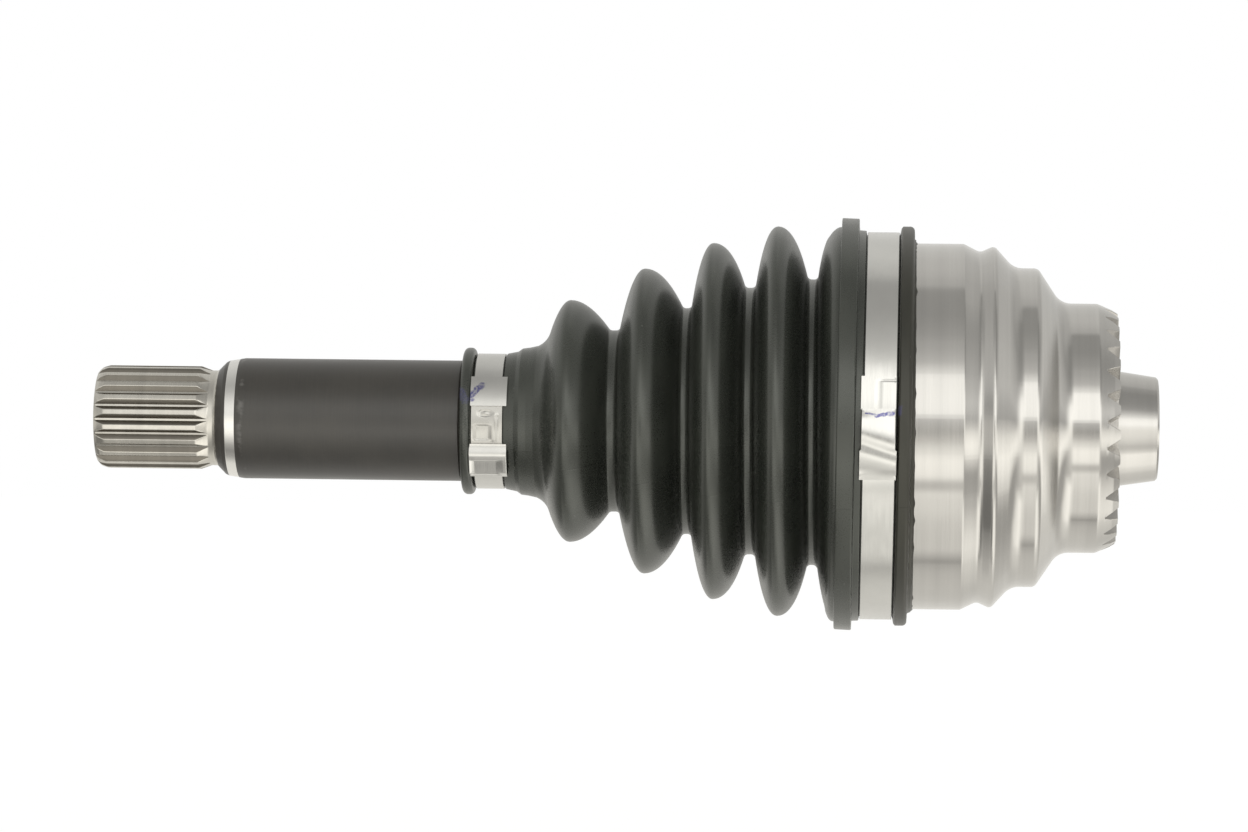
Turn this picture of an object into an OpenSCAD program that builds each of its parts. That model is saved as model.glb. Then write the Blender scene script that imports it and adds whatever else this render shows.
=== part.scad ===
// Drive shaft with a ball-type constant-velocity joint: splined shaft, rubber boot, joint bell with face teeth.
// Millimetres. X runs along the shaft towards the hub, Z is up, and the origin is in the middle of the face teeth.

/* [Joint] */
// Distance from the face teeth back to the centre of the joint
joint_back = 41.5; // [41:0.1:42.5]
// Diameter of each ball
ball_d = 19.05; // [18.6:0.05:19.4]
// Radius of the circle through the ball centres
ball_circle_r = 31.4; // [31:0.1:32]
// Shift of each set of tracks from the centre of the joint
track_shift = 3.1; // [2.8:0.1:3.3]
// Gap between a ball and the wall of its track
track_gap = 0.15; // [0.1:0.01:0.2]
// Running gap between the cage and the round faces on both sides of it
cage_gap = 0.1; // [0.08:0.01:0.14]
// Thickness of the cage outside the ball circle
cage_out_t = 3.3; // [3.1:0.1:3.5]
// Thickness of the cage inside the ball circle
cage_in_t = 1.8; // [1.6:0.1:2]
// Length of the cage along the shaft
cage_len = 31; // [30:0.5:32]
// Length of the inner race
race_len = 24; // [23:0.5:25]
// Play of a ball in its window along the shaft, both sides together
window_play = 0.55; // [0.5:0.05:0.7]
// Room for a ball to move around the cage in its window, on each side
window_side = 1.25; // [1.2:0.05:1.4]
// Largest angle that the shaft swings to
swing_max = 45; // [42:1:46]

/* [Bell] */
// Thickness of the bell outside the ball tracks
bell_wall = 4.88; // [4.6:0.02:5.2]
// Depth of the step down from the bell to the seat under the boot
seat_step = 1.35; // [1.2:0.05:1.5]
// Length of the seat under the boot
seat_len = 13.8; // [13.4:0.1:14.4]
// Thickness of the bell at its mouth
mouth_wall = 4.6; // [4.3:0.1:5]
// Depth of the hollow in front of the centre of the joint
hollow_deep = 28; // [27.6:0.1:28.6]
// Thickness of the bell between its hollow and the bolt hole
floor_wall = 3.64; // [3.2:0.02:4.2]
// Length of the bell's largest turned face in front of the joint's centre
bell_front = 4.6; // [4.3:0.1:5]
// Depth of the turned groove in front of that face
bell_groove_d = 2.05; // [1.6:0.05:2.2]
// Distance from the joint's centre to the middle of the groove
groove_at = 8.7; // [8.4:0.1:9]
// Distance from the joint's centre to the ridge in front of the groove
ridge_at = 12.2; // [12:0.1:12.6]
// Drop from the ridge's top to the step
step_drop = 5.95; // [5.6:0.05:6.2]
// Distance from the joint's centre to the back of the step
step_back_at = 17.2; // [16.9:0.1:17.5]
// Distance from the joint's centre to the front of the step
step_front_at = 23.2; // [22.9:0.1:23.5]
// Distance from the joint's centre to the back of the hub end
hub_back_at = 29; // [28.7:0.1:29.3]
// Size of the small edge breaks and roundings
trim = 1; // [0.9:0.05:1.1]

/* [Face teeth] */
// Radius of the hub end
hub_r = 31.28; // [31:0.02:31.6]
// Number of face teeth
face_teeth = 29; // [27:1:31]
// Height of a face tooth at its outer end
face_tooth_h = 3.37; // [3:0.01:3.6]
// Angle between the two flanks of a groove
face_flank = 60; // [56:1:62]
// Width of the flat at the bottom of a groove
face_root_w = 0.5; // [0.4:0.05:0.6]
// Inner radius of the toothed ring
face_in_r = 21.5; // [20.5:0.1:22.5]
// Radius of the centring spigot, taken back to the middle of the teeth
spigot_r = 14.7; // [14.4:0.05:15]
// Length of the spigot beyond the middle of the teeth
spigot_len = 12; // [11:0.1:13]
// Taper of the spigot on each side, in degrees
spigot_taper = 8.4; // [6:0.1:9]
// Radius of the threaded hole, at the thread's crests
bolt_hole_r = 7.25; // [6.8:0.05:7.6]

/* [Shaft] */
// Free end of the shaft, measured from the face teeth
shaft_reach = 254.8; // [250:0.1:260]
// Radius of the bar between the spline and the boot
bar_r = 15.2; // [15:0.05:15.5]
// Depth of the seat under the small end of the boot
bar_seat_d = 0.95; // [0.8:0.05:1.1]
// Radius of the bar inside the boot
waist_r = 12.4; // [12.1:0.05:12.6]
// Length of the plug-in spline
spline_len = 25.9; // [25:0.1:27]
// Outer radius of the plug-in spline
spline_r = 13.02; // [12.8:0.02:13.3]
// Depth of the spaces of the plug-in spline
spline_d = 1.12; // [1:0.01:1.15]
// Length of the run-out behind the spline
spline_run = 3.1; // [2.8:0.1:3.4]
// Length of the bare neck behind the run-out
neck_len = 1.3; // [1.1:0.1:1.6]
// Number of teeth on the plug-in spline
spline_teeth = 21; // [20:1:22]
// Number of teeth on the spline under the inner race
race_teeth = 24; // [22:1:26]
// Height of the shoulder that the inner race stands against
race_shoulder = 0.4; // [0.35:0.05:0.5]
// Depth of the spline under the inner race
race_spline_d = 1; // [0.9:0.05:1.1]
// Gap between the inner race and the shaft's spline
race_gap = 0.04; // [0.03:0.01:0.08]
// Thickness of the retaining ring
ring_t = 1.5; // [1.3:0.1:1.7]

/* [Boot] */
// Length of the boot from its lip on the bar to the face of its large rim
boot_len = 95; // [94:0.1:96.5]
// Wall thickness of the boot's folds
boot_wall = 2.2; // [2:0.1:2.4]
// Thickness of the boot's large collar under the clamp
large_collar_t = 3.25; // [3.1:0.05:3.4]
// Thickness of the boot's small collar under the clamp
small_collar_t = 1.9; // [1.8:0.05:2]
// Height of the large rim above the clamp's groove
rim_h = 3.85; // [3.6:0.05:4.1]
// Width of the large rim
rim_w = 4.3; // [4:0.1:4.6]
// Height of the bead on the other side of the clamp
bead_h = 2.3; // [2.1:0.05:2.5]
// Height of the lip on the bar above the clamp's groove
lip_h = 2.3; // [2.1:0.05:2.5]
// Length of the plain collar between the small clamp and the first fold
collar_len = 8.2; // [7.8:0.1:8.6]
// Rounding of the folds' crests on the boot's inside, before the wall is taken off
fold_round = 4; // [3.5:0.1:4]
// Rounding at the bottom of each fold
root_round = 0.8; // [0.6:0.1:1]
// Gap between the boot and each metal piece
boot_gap = 0.05; // [0.04:0.01:0.08]

/* [Clamps] */
// Thickness of the clamp strap
strap_t = 0.8; // [0.7:0.05:0.9]
// Width of the large clamp's strap
large_band_w = 7.95; // [7.6:0.05:8.2]
// Width of the small clamp's strap
small_band_w = 7.1; // [6.8:0.05:7.4]
// Height of each closure's bow above the strap
bow_rise = 2; // [1.7:0.1:2.2]

/* [Hidden] */
$fn = 96;

steel = [0.72, 0.70, 0.67];
polished = [0.80, 0.79, 0.77];
coated = [0.22, 0.20, 0.18];
rubber = [0.09, 0.09, 0.085];

eps = 0.01;
balls = 6;
joint_x = -joint_back;
ball_r = ball_d / 2;
tube_r = ball_r + track_gap;
// Each track is an arc about a point that is shifted along the shaft, and passes through the ball's place at rest.
track_r = sqrt(ball_circle_r * ball_circle_r + track_shift * track_shift);
cage_or = ball_circle_r + cage_out_t;
cage_ir = ball_circle_r - cage_in_t;
bell_in_r = cage_or + cage_gap;
race_or = cage_ir - cage_gap;
window_w = ball_d + window_play;
window_l = ball_d + 2 * window_side;
// A ball goes half as far as the shaft swings, and its own width further before the track may end.
track_end = swing_max / 2 + asin(track_shift / track_r) + asin((ball_r + trim / 2) / track_r);

bell_r = ball_circle_r + tube_r + bell_wall;
seat_r = bell_r - seat_step;
mouth_r = seat_r - mouth_wall;
// The mouth cone lets the bar lie along it at the largest swing, with a small gap, and that sets how far the mouth is.
bar_line = (waist_r + 0.4 * trim) / cos(swing_max);
mouth_reach = (mouth_r - bar_line) / tan(swing_max);
mouth_x = joint_x - mouth_reach;
seat_end_x = mouth_x + seat_len;
bell_floor_x = joint_x + hollow_deep;

tooth_top_x = face_tooth_h / 2;
tooth_tilt = atan(face_tooth_h / hub_r);
recess_x = -face_tooth_h / 2 - 0.4 * trim;
hole_tip = bolt_hole_r / tan(59);
hole_end_x = bell_floor_x + floor_wall + hole_tip;

large_seat_r = seat_r + large_collar_t;
large_band_r = large_seat_r + strap_t;
large_band_x = mouth_x + 1.95 * trim;
large_band_end_x = large_band_x + large_band_w;
rim_r = large_seat_r + rim_h;
rim_x = mouth_x - 0.2 * trim - rim_w;

bar_seat_r = bar_r - bar_seat_d;
small_seat_r = bar_seat_r + boot_gap + small_collar_t;
small_band_r = small_seat_r + boot_gap + strap_t;
lip_r = small_seat_r + lip_h;
lip_x = rim_x - boot_len;
small_band_x = lip_x + 4.1 * trim;
small_band_end_x = small_band_x + small_band_w;
collar_x = small_band_end_x + collar_len;
collar_r = small_seat_r + 3 * trim;
fold_base_r = rim_r - 2.1 * trim;

shaft_end_x = -shaft_reach;
neck_r = spline_r - 1.02 * trim;
// The plug-in spline ends where its tool lifted out, and the pointed tips lie on the cone behind it.
spline_stop_x = shaft_end_x + spline_len;
spline_tip_x = spline_stop_x + spline_run;
shoulder_x = spline_tip_x + neck_len;

race_spline_r = waist_r - race_shoulder;
race_root_r = race_spline_r - race_spline_d;
race_back_x = joint_x - race_len / 2;
race_front_x = joint_x + race_len / 2;
ring_x = race_front_x + 0.1 * trim;
inner_end_x = ring_x + ring_t + 2.2 * trim;

function unit(v) = v / norm(v);

function reversed(v) = [for (i = [len(v) - 1 : -1 : 0]) v[i]];

function mix(a, b, t) = a + (b - a) * t;

// Points of an arc of radius r that rounds the corner b between a and c, in steps of about 14 degrees.
function corner(a, b, c, r) =
    let (
        u = unit(a - b),
        v = unit(c - b),
        half = acos(max(-1, min(1, u * v))) / 2,
        mid = b + unit(u + v) * r / sin(half),
        p = b + u * r / tan(half),
        q = b + v * r / tan(half),
        a0 = atan2(p[1] - mid[1], p[0] - mid[0]),
        a1 = atan2(q[1] - mid[1], q[0] - mid[0]),
        turn = a1 - a0 > 180 ? a1 - a0 - 360 : a1 - a0 < -180 ? a1 - a0 + 360 : a1 - a0,
        steps = max(2, ceil(abs(turn) / 14))
    )
    [for (i = [0 : steps]) mid + r * [cos(a0 + turn * i / steps), sin(a0 + turn * i / steps)]];

// A line of [x, radius, corner rounding] points with its corners rounded.
function rounded(pts) = [
    for (i = [0 : len(pts) - 1])
        let (p = pts[i], b = [p[0], p[1]])
        if (len(p) < 3 || p[2] <= 0 || i == 0 || i == len(pts) - 1) b
        else each corner([pts[i - 1][0], pts[i - 1][1]], b, [pts[i + 1][0], pts[i + 1][1]], p[2])
];

// The same line moved inwards by d, so that a wall of even thickness lies between the two.
function inward(pts, d) = [
    for (i = [0 : len(pts) - 1])
        let (
            p = [pts[i][0], pts[i][1]],
            prev = i == 0 ? p : [pts[i - 1][0], pts[i - 1][1]],
            next = i == len(pts) - 1 ? p : [pts[i + 1][0], pts[i + 1][1]],
            u = i == 0 ? unit(next - p) : unit(p - prev),
            v = i == len(pts) - 1 ? u : unit(next - p),
            nu = [u[1], -u[0]],
            nv = [v[1], -v[0]],
            r = len(pts[i]) < 3 ? 0 : pts[i][2],
            left = u[0] * v[1] - u[1] * v[0] > 0
        )
        [each (p + d * (nu + nv) / (1 + nu * nv)), r <= 0 ? 0 : left ? r + d : max(d / 10, r - d)]
];

// Turns a closed outline of [x, radius] points about the X axis, through a full turn unless told otherwise.
module turned(pts, angle = 360) {
    rotate([0, 90, 0])
        rotate_extrude(angle = angle)
            polygon([for (p = pts) [p[1], p[0]]]);
}

// A plain cylinder along X from x0 to x1.
module rod(r, x0, x1) {
    translate([x0, 0, 0])
        rotate([0, 90, 0])
            cylinder(r = r, h = x1 - x0);
}

// A cone along X.
module cone(r0, r1, x0, x1) {
    translate([x0, 0, 0])
        rotate([0, 90, 0])
            cylinder(r1 = r0, r2 = r1, h = x1 - x0);
}

// The room that a ball sweeps in its track: an arc tube about a centre at x, from one angle to another.
module track(x, from, to) {
    translate([x, 0, 0])
        rotate([0, 0, 90 - to])
            rotate_extrude(angle = to - from)
                translate([track_r, 0])
                    circle(r = tube_r);
}

// A ball face about the joint's centre, with its poles on the shaft's axis.
module ball_face(r) {
    translate([joint_x, 0, 0])
        rotate([0, 90, 0])
            sphere(r = r);
}

// One copy for each ball, turned about the shaft.
module around_balls() {
    for (i = [0 : balls - 1])
        rotate([360 / balls * i, 0, 0])
            children();
}

// The joint bell's outside, from its mouth to the end of its spigot.
bell_outline = rounded([
    [mouth_x, 0],
    [mouth_x, seat_r - 0.9 * trim],
    [mouth_x + 0.9 * trim, seat_r],
    [seat_end_x - 0.6 * trim, seat_r, 0.4 * trim],
    [seat_end_x + 0.2 * trim, bell_r - 0.3 * trim],
    [seat_end_x + 0.5 * trim, bell_r],
    [joint_x + bell_front, bell_r, trim],
    [joint_x + groove_at, bell_r - bell_groove_d, 2 * trim],
    [joint_x + ridge_at, bell_r - 0.45 * trim, 1.3 * trim],
    [joint_x + step_back_at, bell_r - step_drop, 5 * trim],
    [joint_x + step_front_at, bell_r - step_drop, 1.8 * trim],
    [joint_x + hub_back_at, hub_r, 5 * trim],
    [-face_tooth_h, hub_r, 1.6 * trim],
    [tooth_top_x - 1.5 * trim, hub_r - 1.5 * trim, 1.5 * trim],
    [tooth_top_x, hub_r - 2.4 * trim],
    [tooth_top_x, face_in_r],
    [recess_x, face_in_r - 0.6 * trim],
    [recess_x, spigot_r + 0.9 * trim, trim],
    [recess_x + 1.6 * trim, spigot_r - recess_x * tan(spigot_taper) - 0.2 * trim],
    [spigot_len - 0.5 * trim, spigot_r - (spigot_len - 0.5 * trim) * tan(spigot_taper)],
    [spigot_len, spigot_r - 0.4 * trim - spigot_len * tan(spigot_taper)],
    [spigot_len, 0]
]);

// The hollow is a ball shape cut off flat at its floor, opened out by the mouth cone.
module bell_hollow() {
    difference() {
        ball_face(bell_in_r);
        translate([bell_floor_x, -bell_in_r - 1, -bell_in_r - 1])
            cube(2 * bell_in_r + 2);
    }
    cone(mouth_r + 2 * tan(swing_max), mouth_r - mouth_reach * tan(swing_max), mouth_x - 2, joint_x);
}

// A V groove whose root runs down and outwards from the axis, so that the flanks of all teeth aim at one point.
module face_groove() {
    up = 2 * face_tooth_h;
    side = up * tan(face_flank / 2);
    translate([tooth_top_x, 0, 0])
        rotate([0, -tooth_tilt, 0])
            translate([0, 0, face_in_r - trim])
                rotate([0, 0, -90])
                    linear_extrude(height = hub_r - face_in_r + 4 * trim)
                        polygon([[-face_root_w / 2, 0], [face_root_w / 2, 0], [face_root_w / 2 + side, up],
                            [-face_root_w / 2 - side, up]]);
}

module bolt_hole() {
    mouth = 1.2 * trim;
    rod(bolt_hole_r, hole_end_x, spigot_len + mouth);
    cone(0, bolt_hole_r, hole_end_x - hole_tip, hole_end_x + eps);
    cone(bolt_hole_r, bolt_hole_r + mouth * 4 / 3, spigot_len - mouth, spigot_len + mouth / 3);
}

module joint_housing() {
    color(steel)
        difference() {
            turned(bell_outline);
            bell_hollow();
            around_balls()
                track(joint_x - track_shift, -50, track_end);
            for (i = [0 : face_teeth - 1])
                rotate([i * 360 / face_teeth, 0, 0])
                    face_groove();
            bolt_hole();
        }
}

// One ball in its place at rest.
module ball(i) {
    color(polished)
        rotate([360 / balls * i, 0, 0])
            translate([joint_x, ball_circle_r, 0])
                sphere(r = ball_r);
}

// A window with rounded corners, cut from the axis outwards.
module cage_window() {
    round = 3.2 * trim;
    a = window_w / 2 - round;
    b = window_l / 2 - round;
    rotate([-90, 0, 0])
        linear_extrude(height = cage_or + 2) {
            square([window_w, 2 * b], center = true);
            square([2 * a, window_l], center = true);
            for (sx = [-1, 1], sy = [-1, 1])
                translate([sx * a, sy * b])
                    circle(r = round);
        }
}

module ball_cage() {
    color(steel)
        difference() {
            intersection() {
                ball_face(cage_or);
                rod(cage_or + 1, joint_x - cage_len / 2, joint_x + cage_len / 2);
            }
            ball_face(cage_ir);
            around_balls()
                translate([joint_x, cage_ir / 2, 0])
                    cage_window();
        }
}

// Outline of a spline across the shaft: straight-flanked teeth from root_r up to tip_r, made larger all round by g.
function spline_outline(n, root_r, tip_r, g = 0) =
    let (pitch = 360 / n, more = g * 60 / tip_r, foot = pitch * 0.31 + more, tip = pitch * 0.13 + more)
    [
        for (i = [0 : n - 1], e = [[-foot, root_r + g], [-tip, tip_r + g], [tip, tip_r + g], [foot, root_r + g]])
            e[1] * [cos(i * pitch + e[0]), sin(i * pitch + e[0])]
    ];

module inner_race() {
    bevel = 1.1 * trim;
    color(steel)
        difference() {
            intersection() {
                ball_face(race_or);
                rod(race_or + 1, race_back_x, race_front_x);
            }
            around_balls()
                track(joint_x + track_shift, -70, 70);
            translate([race_back_x - 1, 0, 0])
                rotate([0, 90, 0])
                    linear_extrude(height = race_len + 2)
                        polygon(spline_outline(race_teeth, race_root_r, race_spline_r, race_gap));
            cone(race_spline_r + bevel, race_spline_r - bevel, race_back_x - bevel / 2, race_back_x + bevel * 1.5);
            cone(race_spline_r - bevel, race_spline_r + bevel, race_front_x - bevel * 1.5, race_front_x + bevel / 2);
        }
}

// An open spring ring that holds the inner race on the end of the shaft.
module race_ring() {
    gap = 16;
    in_r = race_root_r + 0.05 * trim;
    out_r = race_spline_r + 1.8 * trim;
    color(steel)
        rotate([90 + gap / 2, 0, 0])
            turned([[ring_x, in_r], [ring_x, out_r], [ring_x + ring_t, out_r], [ring_x + ring_t, in_r]], 360 - gap);
}

// The shaft's outside as turned, from its free end to the back of the inner race.
shaft_outline = rounded([
    [shaft_end_x, 0],
    [shaft_end_x, spline_r - 1.5 * trim],
    [shaft_end_x + 0.9 * trim, spline_r - 0.55 * trim, 1.6 * trim],
    [shaft_end_x + 2.6 * trim, spline_r, 2.4 * trim],
    [spline_stop_x, spline_r, 0.8 * trim],
    [spline_tip_x - 0.3 * trim, neck_r, trim],
    [shoulder_x, neck_r, trim],
    [shoulder_x + 2.2 * trim, bar_r - 0.95 * trim, 0.8 * trim],
    [shoulder_x + 3.1 * trim, bar_r - 0.6 * trim],
    [shoulder_x + 5.6 * trim, bar_r - 0.2 * trim, 0.8 * trim],
    [shoulder_x + 6.9 * trim, bar_r, 2 * trim],
    [lip_x - 0.6 * trim, bar_r],
    [lip_x + 1.3 * trim, bar_seat_r, 0.8 * trim],
    [small_band_end_x + 2.5 * trim, bar_seat_r, 0.8 * trim],
    [small_band_end_x + 4.3 * trim, bar_r, 0.5 * trim],
    [collar_x + trim, bar_r, 3 * trim],
    [collar_x + 11 * trim, waist_r, 8 * trim],
    [race_back_x - 0.1 * trim, waist_r],
    [race_back_x - 0.1 * trim, 0]
]);

// One space of the plug-in spline: its section across the shaft, its pointed plan, and its floor that lifts at the end.
module spline_space() {
    floor_r = spline_r - spline_d;
    pitch_w = 2 * PI * spline_r / spline_teeth;
    bottom = pitch_w * 0.14;
    top = pitch_w * 0.43;
    reach = 0.8 * trim;
    wide = top + (top - bottom) * reach / spline_d;
    start = shaft_end_x - 1;
    narrow_x = spline_stop_x - 0.3 * trim;
    intersection() {
        translate([start, 0, 0])
            rotate([90, 0, 90])
                linear_extrude(height = spline_tip_x - start)
                    polygon([[-bottom, floor_r], [bottom, floor_r], [wide, spline_r + reach], [-wide, spline_r + reach]]);
        translate([0, 0, floor_r - 1])
            linear_extrude(height = 4 * spline_d)
                polygon([[start, -wide], [narrow_x, -wide], [narrow_x, -top * 0.95], [spline_tip_x, 0],
                    [narrow_x, top * 0.95], [narrow_x, wide], [start, wide]]);
        translate([0, 2 * wide, 0])
            rotate([90, 0, 0])
                linear_extrude(height = 4 * wide)
                    polygon([[start, floor_r], [narrow_x, floor_r], [spline_tip_x, floor_r + 0.35 * trim],
                        [spline_tip_x, floor_r + 3 * spline_d], [start, floor_r + 3 * spline_d]]);
    }
}

// The stub under the inner race: splined, chamfered, with a groove for the ring and a centre mark in its end.
module race_stub() {
    x0 = race_back_x - 0.2 * trim;
    bevel = 2.2 * trim;
    groove_r = race_root_r - 0.4 * trim;
    difference() {
        intersection() {
            translate([x0, 0, 0])
                rotate([0, 90, 0])
                    linear_extrude(height = inner_end_x - x0)
                        polygon(spline_outline(race_teeth, race_root_r, race_spline_r));
            turned([[x0, 0], [x0, race_spline_r + 1], [inner_end_x - bevel, race_spline_r + 1],
                [inner_end_x, race_root_r - 0.4 * trim], [inner_end_x, 0]]);
        }
        turned([[ring_x - 0.05, groove_r], [ring_x - 0.05, race_spline_r + 1],
            [ring_x + ring_t + 0.05, race_spline_r + 1], [ring_x + ring_t + 0.05, groove_r]]);
        cone(0, 3.2 * trim, inner_end_x - 3.2 * trim, inner_end_x + eps);
    }
}

module drive_shaft() {
    color(coated)
        union() {
            difference() {
                turned(shaft_outline);
                for (i = [0 : spline_teeth - 1])
                    rotate([i * 360 / spline_teeth, 0, 0])
                        spline_space();
                cone(3.4 * trim, 0, shaft_end_x - eps, shaft_end_x + 3.4 * trim);
            }
            race_stub();
        }
}

// Rubber boot. Along the boot and in height, everything is a share of the way from the collar to the large rim.
// Each fold's crest: its place and height, and how full its left and right flank are. At 1 a flank is a parabola,
// below 1 it is straighter and above 1 fuller.
fold_crests = [
    [0.1078, 0.3716, 0.9, 0.85],
    [0.3559, 0.6321, 1.0, 1.03],
    [0.5843, 0.8433, 1.25, 1.4],
    [0.799, 0.9801, 1.4, 1.5]
];
// The root in front of each fold and behind the last one: its left and right end, and its height.
fold_roots = [
    [0, 0.0305, 0.0362],
    [0.2403, 0.2727, 0.12],
    [0.4835, 0.5121, 0.3042],
    [0.6909, 0.7246, 0.4723],
    [0.899, 0.9311, 0.5502]
];
fold_steps = 7;

function fold_place(at, high) = [mix(collar_x, rim_x, at), mix(collar_r, fold_base_r, high)];

// The foot of the flank on one side of fold i, left (0) or right (1), with the rounding of its corner.
function fold_foot(i, side) =
    let (root = fold_roots[i + side])
    [each fold_place(root[1 - side], root[2]), i + side == 0 ? 4.5 * trim : root_round];

function fold_crest(i) = fold_place(fold_crests[i][0], fold_crests[i][1]);

// A flank's place at a share t of the way from the crest to the foot.
function flank_place(crest, foot, full, t) =
    [mix(crest[0], foot[0], t), mix(crest[1], foot[1], t * t / (full + (1 - full) * t))];

// A flank's points from its foot up to the crest, closer together near the crest.
function flank(crest, foot, full) = [
    foot,
    for (k = [fold_steps - 1 : -1 : 0]) flank_place(crest, foot, full, pow(k / fold_steps, 0.8))
];

function fold(i) =
    concat(
        flank(fold_crest(i), fold_foot(i, 0), fold_crests[i][2]),
        [for (k = [fold_steps - 1 : -1 : 0]) flank(fold_crest(i), fold_foot(i, 1), fold_crests[i][3])[k]]
    );

fold_line = [
    [collar_x, collar_r],
    [collar_x + 0.8 * trim, collar_r + 0.15 * trim],
    for (i = [0 : 3]) each fold(i),
    each flank([rim_x - 0.1 * trim, fold_base_r], [each fold_place(fold_roots[4][1], fold_roots[4][2]), root_round], 1.8)
];

// The corners that the boot's inside follows, a wall's thickness further in. The two at a crest stand this share of the
// way to each foot apart from it.
core_tops = [[0.27, 0.22], [0.32, 0.26], [0.42, 0.36], [0.45, 0.37]];

function fold_core(i) =
    let (c = fold_crest(i), a = fold_foot(i, 0), b = fold_foot(i, 1))
    [
        a,
        [mix(c[0], a[0], core_tops[i][0]), c[1] - 0.1 * trim, 0.75 * fold_round],
        [mix(c[0], b[0], core_tops[i][1]), c[1] - 0.3 * trim, fold_round],
        [each flank_place(c, b, fold_crests[i][3], 0.7), 2.25 * fold_round],
        b
    ];

core_line = [
    [collar_x, collar_r],
    for (i = [0 : 3]) each fold_core(i),
    [each fold_place(fold_roots[4][1], fold_roots[4][2]), root_round],
    [mix(collar_x, rim_x, 0.9608), mix(collar_r, fold_base_r, 0.9602), 2.4 * trim],
    [rim_x - 0.1 * trim, fold_base_r]
];

boot_outside = concat(
    rounded([
        [lip_x, bar_seat_r + 1.1 * trim],
        [lip_x, lip_r, 0.9 * trim],
        [lip_x + 3.3 * trim, lip_r, trim],
        [small_band_x - 0.2 * trim, small_seat_r],
        [small_band_end_x + 0.1 * trim, small_seat_r],
        [small_band_end_x + 0.4 * trim, small_seat_r + 0.9 * trim, 0.2 * trim],
        [small_band_end_x + 3.1 * trim, small_seat_r + 1.45 * trim, 0.4 * trim],
        [small_band_end_x + 4.2 * trim, small_seat_r + 2.25 * trim, 0.4 * trim],
        [small_band_end_x + 6.1 * trim, small_seat_r + 2.5 * trim, trim],
        [collar_x - 0.1 * trim, collar_r - 0.05 * trim]
    ]),
    rounded(fold_line),
    [
        [rim_x, rim_r - 0.3 * trim],
        [rim_x + 0.3 * trim, rim_r],
        [rim_x + rim_w, rim_r],
        [rim_x + rim_w + 1.2 * trim, large_seat_r + 1.2 * trim],
        [large_band_x - 0.15 * trim, large_seat_r],
        [large_band_end_x + 0.1 * trim, large_seat_r],
        [large_band_end_x + 0.5 * trim, large_seat_r + bead_h - 0.5 * trim],
        [large_band_end_x + 0.9 * trim, large_seat_r + bead_h],
        [seat_end_x - 0.1 * trim, large_seat_r + bead_h],
        [seat_end_x + 0.5 * trim, large_seat_r + bead_h - 0.7 * trim]
    ]
);

boot_inside = concat(
    [
        [seat_end_x + 0.5 * trim, bell_r + 2 * boot_gap],
        [seat_end_x + 0.1 * trim, bell_r + 2 * boot_gap],
        [seat_end_x - 0.75 * trim, seat_r + 0.3 * trim],
        [seat_end_x - 0.75 * trim, seat_r + boot_gap / 2],
        [mouth_x + 0.9 * trim, seat_r + boot_gap / 2],
        [mouth_x - boot_gap, seat_r - 0.85 * trim],
        [mouth_x - boot_gap, mouth_r + 3 * trim],
        [rim_x + 1.1 * trim, fold_base_r - 4.5 * trim]
    ],
    [
        for (p = reversed(rounded(inward(core_line, boot_wall))))
            if (p[0] < rim_x - 0.4 * trim && p[0] > collar_x + 1.4 * trim) p
    ],
    [
        [collar_x - 1.2 * trim, bar_r + 0.6 * trim],
        [small_band_end_x + 4.5 * trim, bar_r + 0.4 * trim],
        [small_band_end_x + 2.3 * trim, bar_seat_r + boot_gap],
        [lip_x + 1.5 * trim, bar_seat_r + boot_gap]
    ]
);

module boot() {
    color(rubber)
        turned(concat(boot_outside, boot_inside));
}

// Clamps. Angles are counted about the axis, downwards from the side that faces -Y.

// A ring sector of outer radius r and thickness t, between two angles.
module strap(x0, w, r, t, from, to) {
    rotate([180 + from, 0, 0])
        translate([x0, 0, 0])
            rotate([90, 0, 90])
                rotate_extrude(angle = to - from)
                    translate([r - t, 0])
                        square([t, w]);
}

module arc_ring(x0, w, r, t) {
    difference() {
        rod(r, x0, x0 + w);
        rod(r - t, x0 - 1, x0 + w + 1);
    }
}

// A bowed tongue that stands off the band like a low arch, half of it on each side of the angle mid.
module bow(x0, w, band_r, mid, half) {
    chord = band_r * sin(half);
    bow_r = (chord * chord + bow_rise * bow_rise) / (2 * bow_rise) * 0.55;
    centre = band_r + bow_rise - bow_r;
    rotate([180 + mid, 0, 0])
        intersection() {
            translate([0, centre, 0])
                arc_ring(x0, w, bow_r, strap_t);
            translate([x0 - 1, band_r - 0.3 * trim, -chord])
                cube([w + 2, bow_rise + 3, 2 * chord]);
        }
}

module large_clamp() {
    side = 0.8 * trim;
    color(polished)
        union() {
            arc_ring(large_band_x, large_band_w, large_band_r, strap_t);
            strap(large_band_x - side, large_band_w + side, large_band_r + strap_t, strap_t + eps, -14, -5);
            bow(large_band_x - side / 2, large_band_w + side / 2, large_band_r, 4.8, 9.6);
        }
}

module small_clamp() {
    side = 0.3 * trim;
    color(polished)
        union() {
            arc_ring(small_band_x, small_band_w, small_band_r, strap_t);
            strap(small_band_x - side, small_band_w + 2 * side, small_band_r + strap_t, strap_t + eps, -40, -7);
            strap(small_band_x, small_band_w - 0.8 * trim, small_band_r + strap_t / 2, strap_t / 2 + eps, -7, 24);
            bow(small_band_x - side, small_band_w + 0.2 * trim, small_band_r, 39, 15);
        }
}

joint_housing();
boot();
large_clamp();
small_clamp();
drive_shaft();
inner_race();
race_ring();
ball_cage();
ball(0);  // ball_1
ball(1);  // ball_2
ball(2);  // ball_3
ball(3);  // ball_4
ball(4);  // ball_5
ball(5);  // ball_6
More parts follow.
